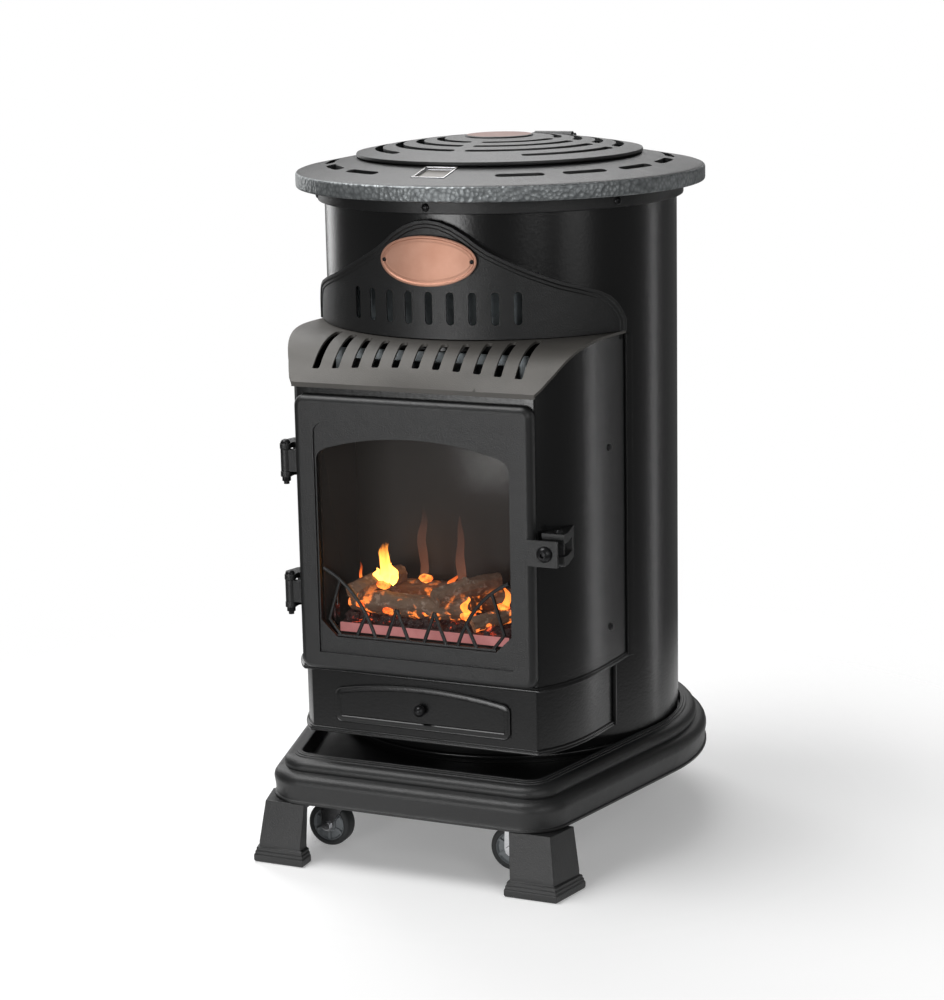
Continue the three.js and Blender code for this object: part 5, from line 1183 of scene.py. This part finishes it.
# ---------- fire ----------
refined("firebox_liner", LINER)
refined("burner_tray", SOOT, width=0.5)
refined("pilot_burner", BRIGHT, width=0.3)
refined("heat_shield", ZINC)


def log(name, points, radius, seed, stands_for, ends=(False, False), knots=()):
    """A charred split log: bent and furrowed along its length, with sawn ends where asked."""
    steps, sides = 44, 40
    p0, p1, p2 = (Vector(p) for p in points)
    bm = bmesh.new()
    ops.create_cone(bm, cap_ends=True, segments=sides, radius1=1, radius2=1, depth=1)
    long_edges = [e for e in bm.edges if abs(e.verts[0].co.z - e.verts[1].co.z) > 0.5]
    ops.subdivide_edges(bm, edges=long_edges, cuts=steps, use_grid_fill=True)
    for face in [f for f in bm.faces if len(f.verts) > 4]:
        ops.inset_region(bm, faces=[face], thickness=0.12, depth=0)
        ops.inset_region(bm, faces=[face], thickness=0.3, depth=0)
        ops.poke(bm, faces=[face])
    for vert in bm.verts:
        t = vert.co.z + 0.5
        centre = (1 - t) ** 2 * p0 + 2 * (1 - t) * t * p1 + t * t * p2
        along = (2 * (1 - t) * (p1 - p0) + 2 * t * (p2 - p1)).normalized()
        side = along.cross(Vector((0, 0, 1))).normalized()
        up = side.cross(along)
        around = atan2(vert.co.y, vert.co.x)
        reach = hypot(vert.co.x, vert.co.y)
        furrow = noise.noise(Vector((cos(around) * 2.4 + seed, sin(around) * 2.4, t * 2.2)))
        bark = noise.fractal(Vector((cos(around) * 5 + seed, sin(around) * 5, t * 14)), 1.0, 2.0, 4)
        r = radius * reach * (1 + 0.16 * furrow + 0.07 * bark)
        for at, size, turn in knots:
            r += radius * reach * size * exp(-(((t - at) / 0.05) ** 2) - ((around - turn) / 0.5) ** 2)
        shift = along * (radius * 0.12 * noise.noise(Vector((vert.co.x * 2, vert.co.y * 2, seed))))
        ring = side * (r * cos(around)) + up * (r * sin(around))
        vert.co = centre + ring + shift * (abs(t - 0.5) * 2)
    outward(bm)
    tips = ((p0, p1 - p0), (p2, p2 - p1))
    cuts = [(end, way.normalized()) for (end, way), cut in zip(tips, ends) if cut]
    painted(bm, lambda face, at: any((at - end).length < radius * 1.1 and abs(face.normal.dot(way)) > 0.8
                                     for end, way in cuts))
    piece(name, bm, [LOG, SAWN], stands_for=stands_for, smooth=60)


SEAT = 264
LOGS = (
    ("main", ((-94, -208, 17), (-28, -216, 13), (46, -210, 18)), 12.5, 1, "log_main",
     (True, False), ((0.3, 0.3, 1.2), (0.66, 0.35, 0.6))),
    ("back", ((-72, -170, 17), (0, -168, 22), (80, -170, 16)), 14.5, 2, "log_back"),
    ("left", ((-88, -228, 28), (-72, -200, 38), (-54, -170, 38)), 10.5, 4, "log_left_cross", (True, False)),
    ("top", ((12, -229, 30), (34, -200, 39), (62, -171, 39)), 10, 5, "log_top_cross",
     (False, False), ((0.5, 0.4, 1.5),)),
    ("small", ((56, -232, 6), (76, -214, 13), (100, -190, 12)), 8.5, 7, (), (True, False)),
)
for name, points, *rest in LOGS:
    log(f"firelog_{name}", [(x, y, SEAT + z) for x, y, z in points], *rest)


def embers():
    """A bed of broken coals over the burner."""
    random.seed(11)
    bodies = [softened(block(-101, 101, -233, -153, 256.3, 260.5), 1.5, 2)]
    for _ in range(260):
        row = random.random() ** 1.4       # more of them towards the front
        x = random.uniform(-97, 97)
        y = -230 + 74 * row
        size = random.uniform(3.2, 6.4)
        lump = bmesh.new()
        ops.create_icosphere(lump, subdivisions=1, radius=size)
        for vert in lump.verts:
            vert.co *= random.uniform(0.78, 1.12)
        ops.scale(lump, vec=(1, random.uniform(0.7, 1), random.uniform(0.55, 0.85)), verts=lump.verts)
        spin = Matrix.Rotation(random.uniform(0, 6.3), 3, "Z")
        turn = spin @ Matrix.Rotation(random.uniform(-0.4, 0.4), 3, "X")
        ops.rotate(lump, cent=(0, 0, 0), matrix=turn, verts=lump.verts)
        moved(lump, (x, y, 262 + random.uniform(0, 5.5)))
        bodies.append(lump)
    piece("ember_coals", joined(bodies), EMBER, stands_for="ember_bed", smooth=20)


embers()


def tongue(name, foot, width, height, lean, seed, material):
    """One flame: a closed, twisted teardrop."""
    bm = bmesh.new()
    ops.create_uvsphere(bm, u_segments=28, v_segments=36, radius=1)
    for vert in bm.verts:
        t = (vert.co.z + 1) / 2
        swell = (1 - t) ** 0.75 * (0.55 + 1.1 * t) if t < 1 else 0
        wave = noise.noise(Vector((seed, t * 2.6, 0))) * width * 0.9 * t
        ripple = 1 + 0.25 * noise.noise(Vector((vert.co.x * 2, seed, t * 5)))
        reach = hypot(vert.co.x, vert.co.y) or 1
        x = vert.co.x / reach * width / 2 * swell * ripple * min(1, t * 6)
        y = vert.co.y / reach * width * 0.35 * swell * ripple * min(1, t * 6)
        vert.co = (foot[0] + x + wave + lean * t * t, foot[1] + y, foot[2] + height * t)
    ops.remove_doubles(bm, verts=bm.verts, dist=0.01)
    piece(name, outward(bm), material, smooth=80)


# painted firelight: the burner's front edge is made to emit pink in place of the fire's light falling on it
firelit_strip = softened(block(-99, 99, -236.2, -234, 250.6, 260.6), 0.5, 2)
piece("burner_front_painted_firelight", firelit_strip, ROSY)
HOT_SPOTS = ((-18, -186, 304, 7), (19, -196, 294, 7), (46, -220, 276, 8), (80, -205, 285, 7),
             (-2, -222, 276, 5), (-47, -224, 275, 5), (-80, -220, 279, 6), (-53, -203, 305, 8),
             (-59, -208, 299, 7))


def hot_coals():
    """Glowing lumps caught between the logs."""
    random.seed(23)
    lumps = []
    for x, y, z, size in HOT_SPOTS:
        lump = bmesh.new()
        ops.create_icosphere(lump, subdivisions=2, radius=size)
        for vert in lump.verts:
            vert.co *= random.uniform(0.82, 1.1)
        ops.scale(lump, vec=(1.2, 0.8, 0.75), verts=lump.verts)
        moved(lump, (x, y, z))
        lumps.append(lump)
    piece("hot_coals", joined(lumps), HOT, smooth=30)


hot_coals()
YELLOW = flame("flame_yellow", 292, 60, (1.0, 0.56, 0.10), (1.0, 0.26, 0.03), 6.0, 1.3)
AMBER = flame("flame_amber", 270, 60, (1.0, 0.34, 0.04), (0.9, 0.10, 0.02), 4.0, 1.0)
FAINT = flame("flame_faint", 285, 120, (1.0, 0.34, 0.18), (0.50, 0.20, 0.14), 0.55, 0.30)
for name, foot, width, height, lean, seed, material in (
        ("tall", (-55, -208, 297), 18, 58, -3, 3.1, YELLOW),
        ("tall_left", (-62, -207, 297), 13, 20, -3, 5.3, YELLOW),
        ("tall_right", (-48, -207, 298), 15, 26, 2, 8.7, YELLOW),
        ("left_thin", (-86, -206, 288), 5, 34, -2, 1.7, AMBER),
        ("right", (22, -205, 286), 15, 30, 3, 2.2, AMBER),
        ("right_small", (46, -222, 268), 13, 30, -3, 4.9, AMBER),
        ("right_edge", (84, -205, 280), 12, 28, 2, 7.9, AMBER),
        ("back", (-20, -188, 296), 15, 92, 2, 6.4, FAINT),
        ("back_right", (28, -190, 292), 15, 86, -3, 9.6, FAINT)):
    tongue(f"flame_{name}", foot, width, height, lean, seed, material)


# ---------- floor, light, camera ----------
floor_mesh = bpy.data.meshes.new("floor")
floor_bm = bmesh.new()
ops.create_circle(floor_bm, cap_ends=True, segments=96, radius=1.15)
floor_bm.to_mesh(floor_mesh)
floor_bm.free()
floor = linked("floor", floor_mesh)
paint = Finish("pale_floor")
reach = (paint.split(0) ** 2 + paint.split(1) ** 2) ** 0.5
floor_mesh.materials.append(paint.coat((0.86, 0.86, 0.86), 0.9, 0.0, None, {
    "Alpha": 1 - reach.above(0.62, 0.34), "Emission Color": (1, 1, 1, 1), "Emission Strength": 0.22}))

WHITE = (1, 1, 1, 1)
BACKDROP, AMBIENT = 1.0, 0.125    # what the camera sees behind the heater, and what lights it
world = bpy.data.worlds.new("studio")
bpy.context.scene.world = world
world.use_nodes = True
sky = world.node_tree
backdrop = sky.nodes["Background"]
dim = sky.nodes.new("ShaderNodeBackground")
for shade, strength in ((backdrop, BACKDROP), (dim, AMBIENT)):
    shade.inputs["Color"].default_value = WHITE
    shade.inputs["Strength"].default_value = strength
seen = sky.nodes.new("ShaderNodeLightPath")
either = sky.nodes.new("ShaderNodeMixShader")
sky.links.new(seen.outputs["Is Camera Ray"], either.inputs[0])
sky.links.new(dim.outputs[0], either.inputs[1])
sky.links.new(backdrop.outputs[0], either.inputs[2])
sky.links.new(either.outputs[0], sky.nodes["World Output"].inputs["Surface"])


def softbox(name, at, size, power, aim=(0, 0, 0.42)):
    data = bpy.data.lights.new(name, "AREA")
    data.shape = "RECTANGLE"
    data.size, data.size_y = size
    data.energy = power
    thing = linked(name, data)
    thing.location = at
    thing.rotation_euler = (Vector(aim) - Vector(at)).to_track_quat("-Z", "Y").to_euler()


softbox("softbox_front_low", (-0.42, -2.3, 0.35), (0.8, 0.8), 15)
softbox("softbox_front_right", (2.2, -2.2, 1.4), (0.8, 1.6), 15)
softbox("softbox_right", (2.4, -0.8, 1.2), (0.7, 2.0), 5)
softbox("softbox_top", (-0.9, -0.55, 2.6), (1.6, 1.3), 46)
softbox("softbox_top_rear", (-1.0, 1.6, 2.4), (2.0, 1.2), 34)
softbox("softbox_left_rear", (-2.1, 1.4, 1.1), (0.7, 1.8), 10)
softbox("softbox_rear", (-0.6, 2.6, 1.2), (1.6, 1.6), 6)
softbox("strip_right_rear", (1.57, 1.6, 0.1), (0.10, 2.2), 3, (0.17, -0.1, 0.3))

# the camera was fitted to points measured in the photograph
YAW, PITCH, ROLL = radians(24.21), radians(-12.32), radians(-1.35)
CAMERA_AT = (1.0863, -2.5677, 0.9933)
LENS, SHIFT_X, SHIFT_Y = 90.83, 0.0352, -0.019
gaze = Vector((-sin(YAW) * cos(PITCH), cos(YAW) * cos(PITCH), sin(PITCH)))
level = Vector((cos(YAW), sin(YAW), 0))
upright = level.cross(gaze)
right = cos(ROLL) * level + sin(ROLL) * upright
up = -sin(ROLL) * level + cos(ROLL) * upright
camera_data = bpy.data.cameras.new("camera")
camera = linked("camera", camera_data)
turn = Matrix((right, up, -gaze)).transposed().to_4x4()
camera.matrix_world = Matrix.Translation(CAMERA_AT) @ turn
camera_data.lens, camera_data.shift_x, camera_data.shift_y = LENS, SHIFT_X, SHIFT_Y
bpy.context.scene.camera = camera
bpy.context.scene.view_settings.view_transform = "Standard"
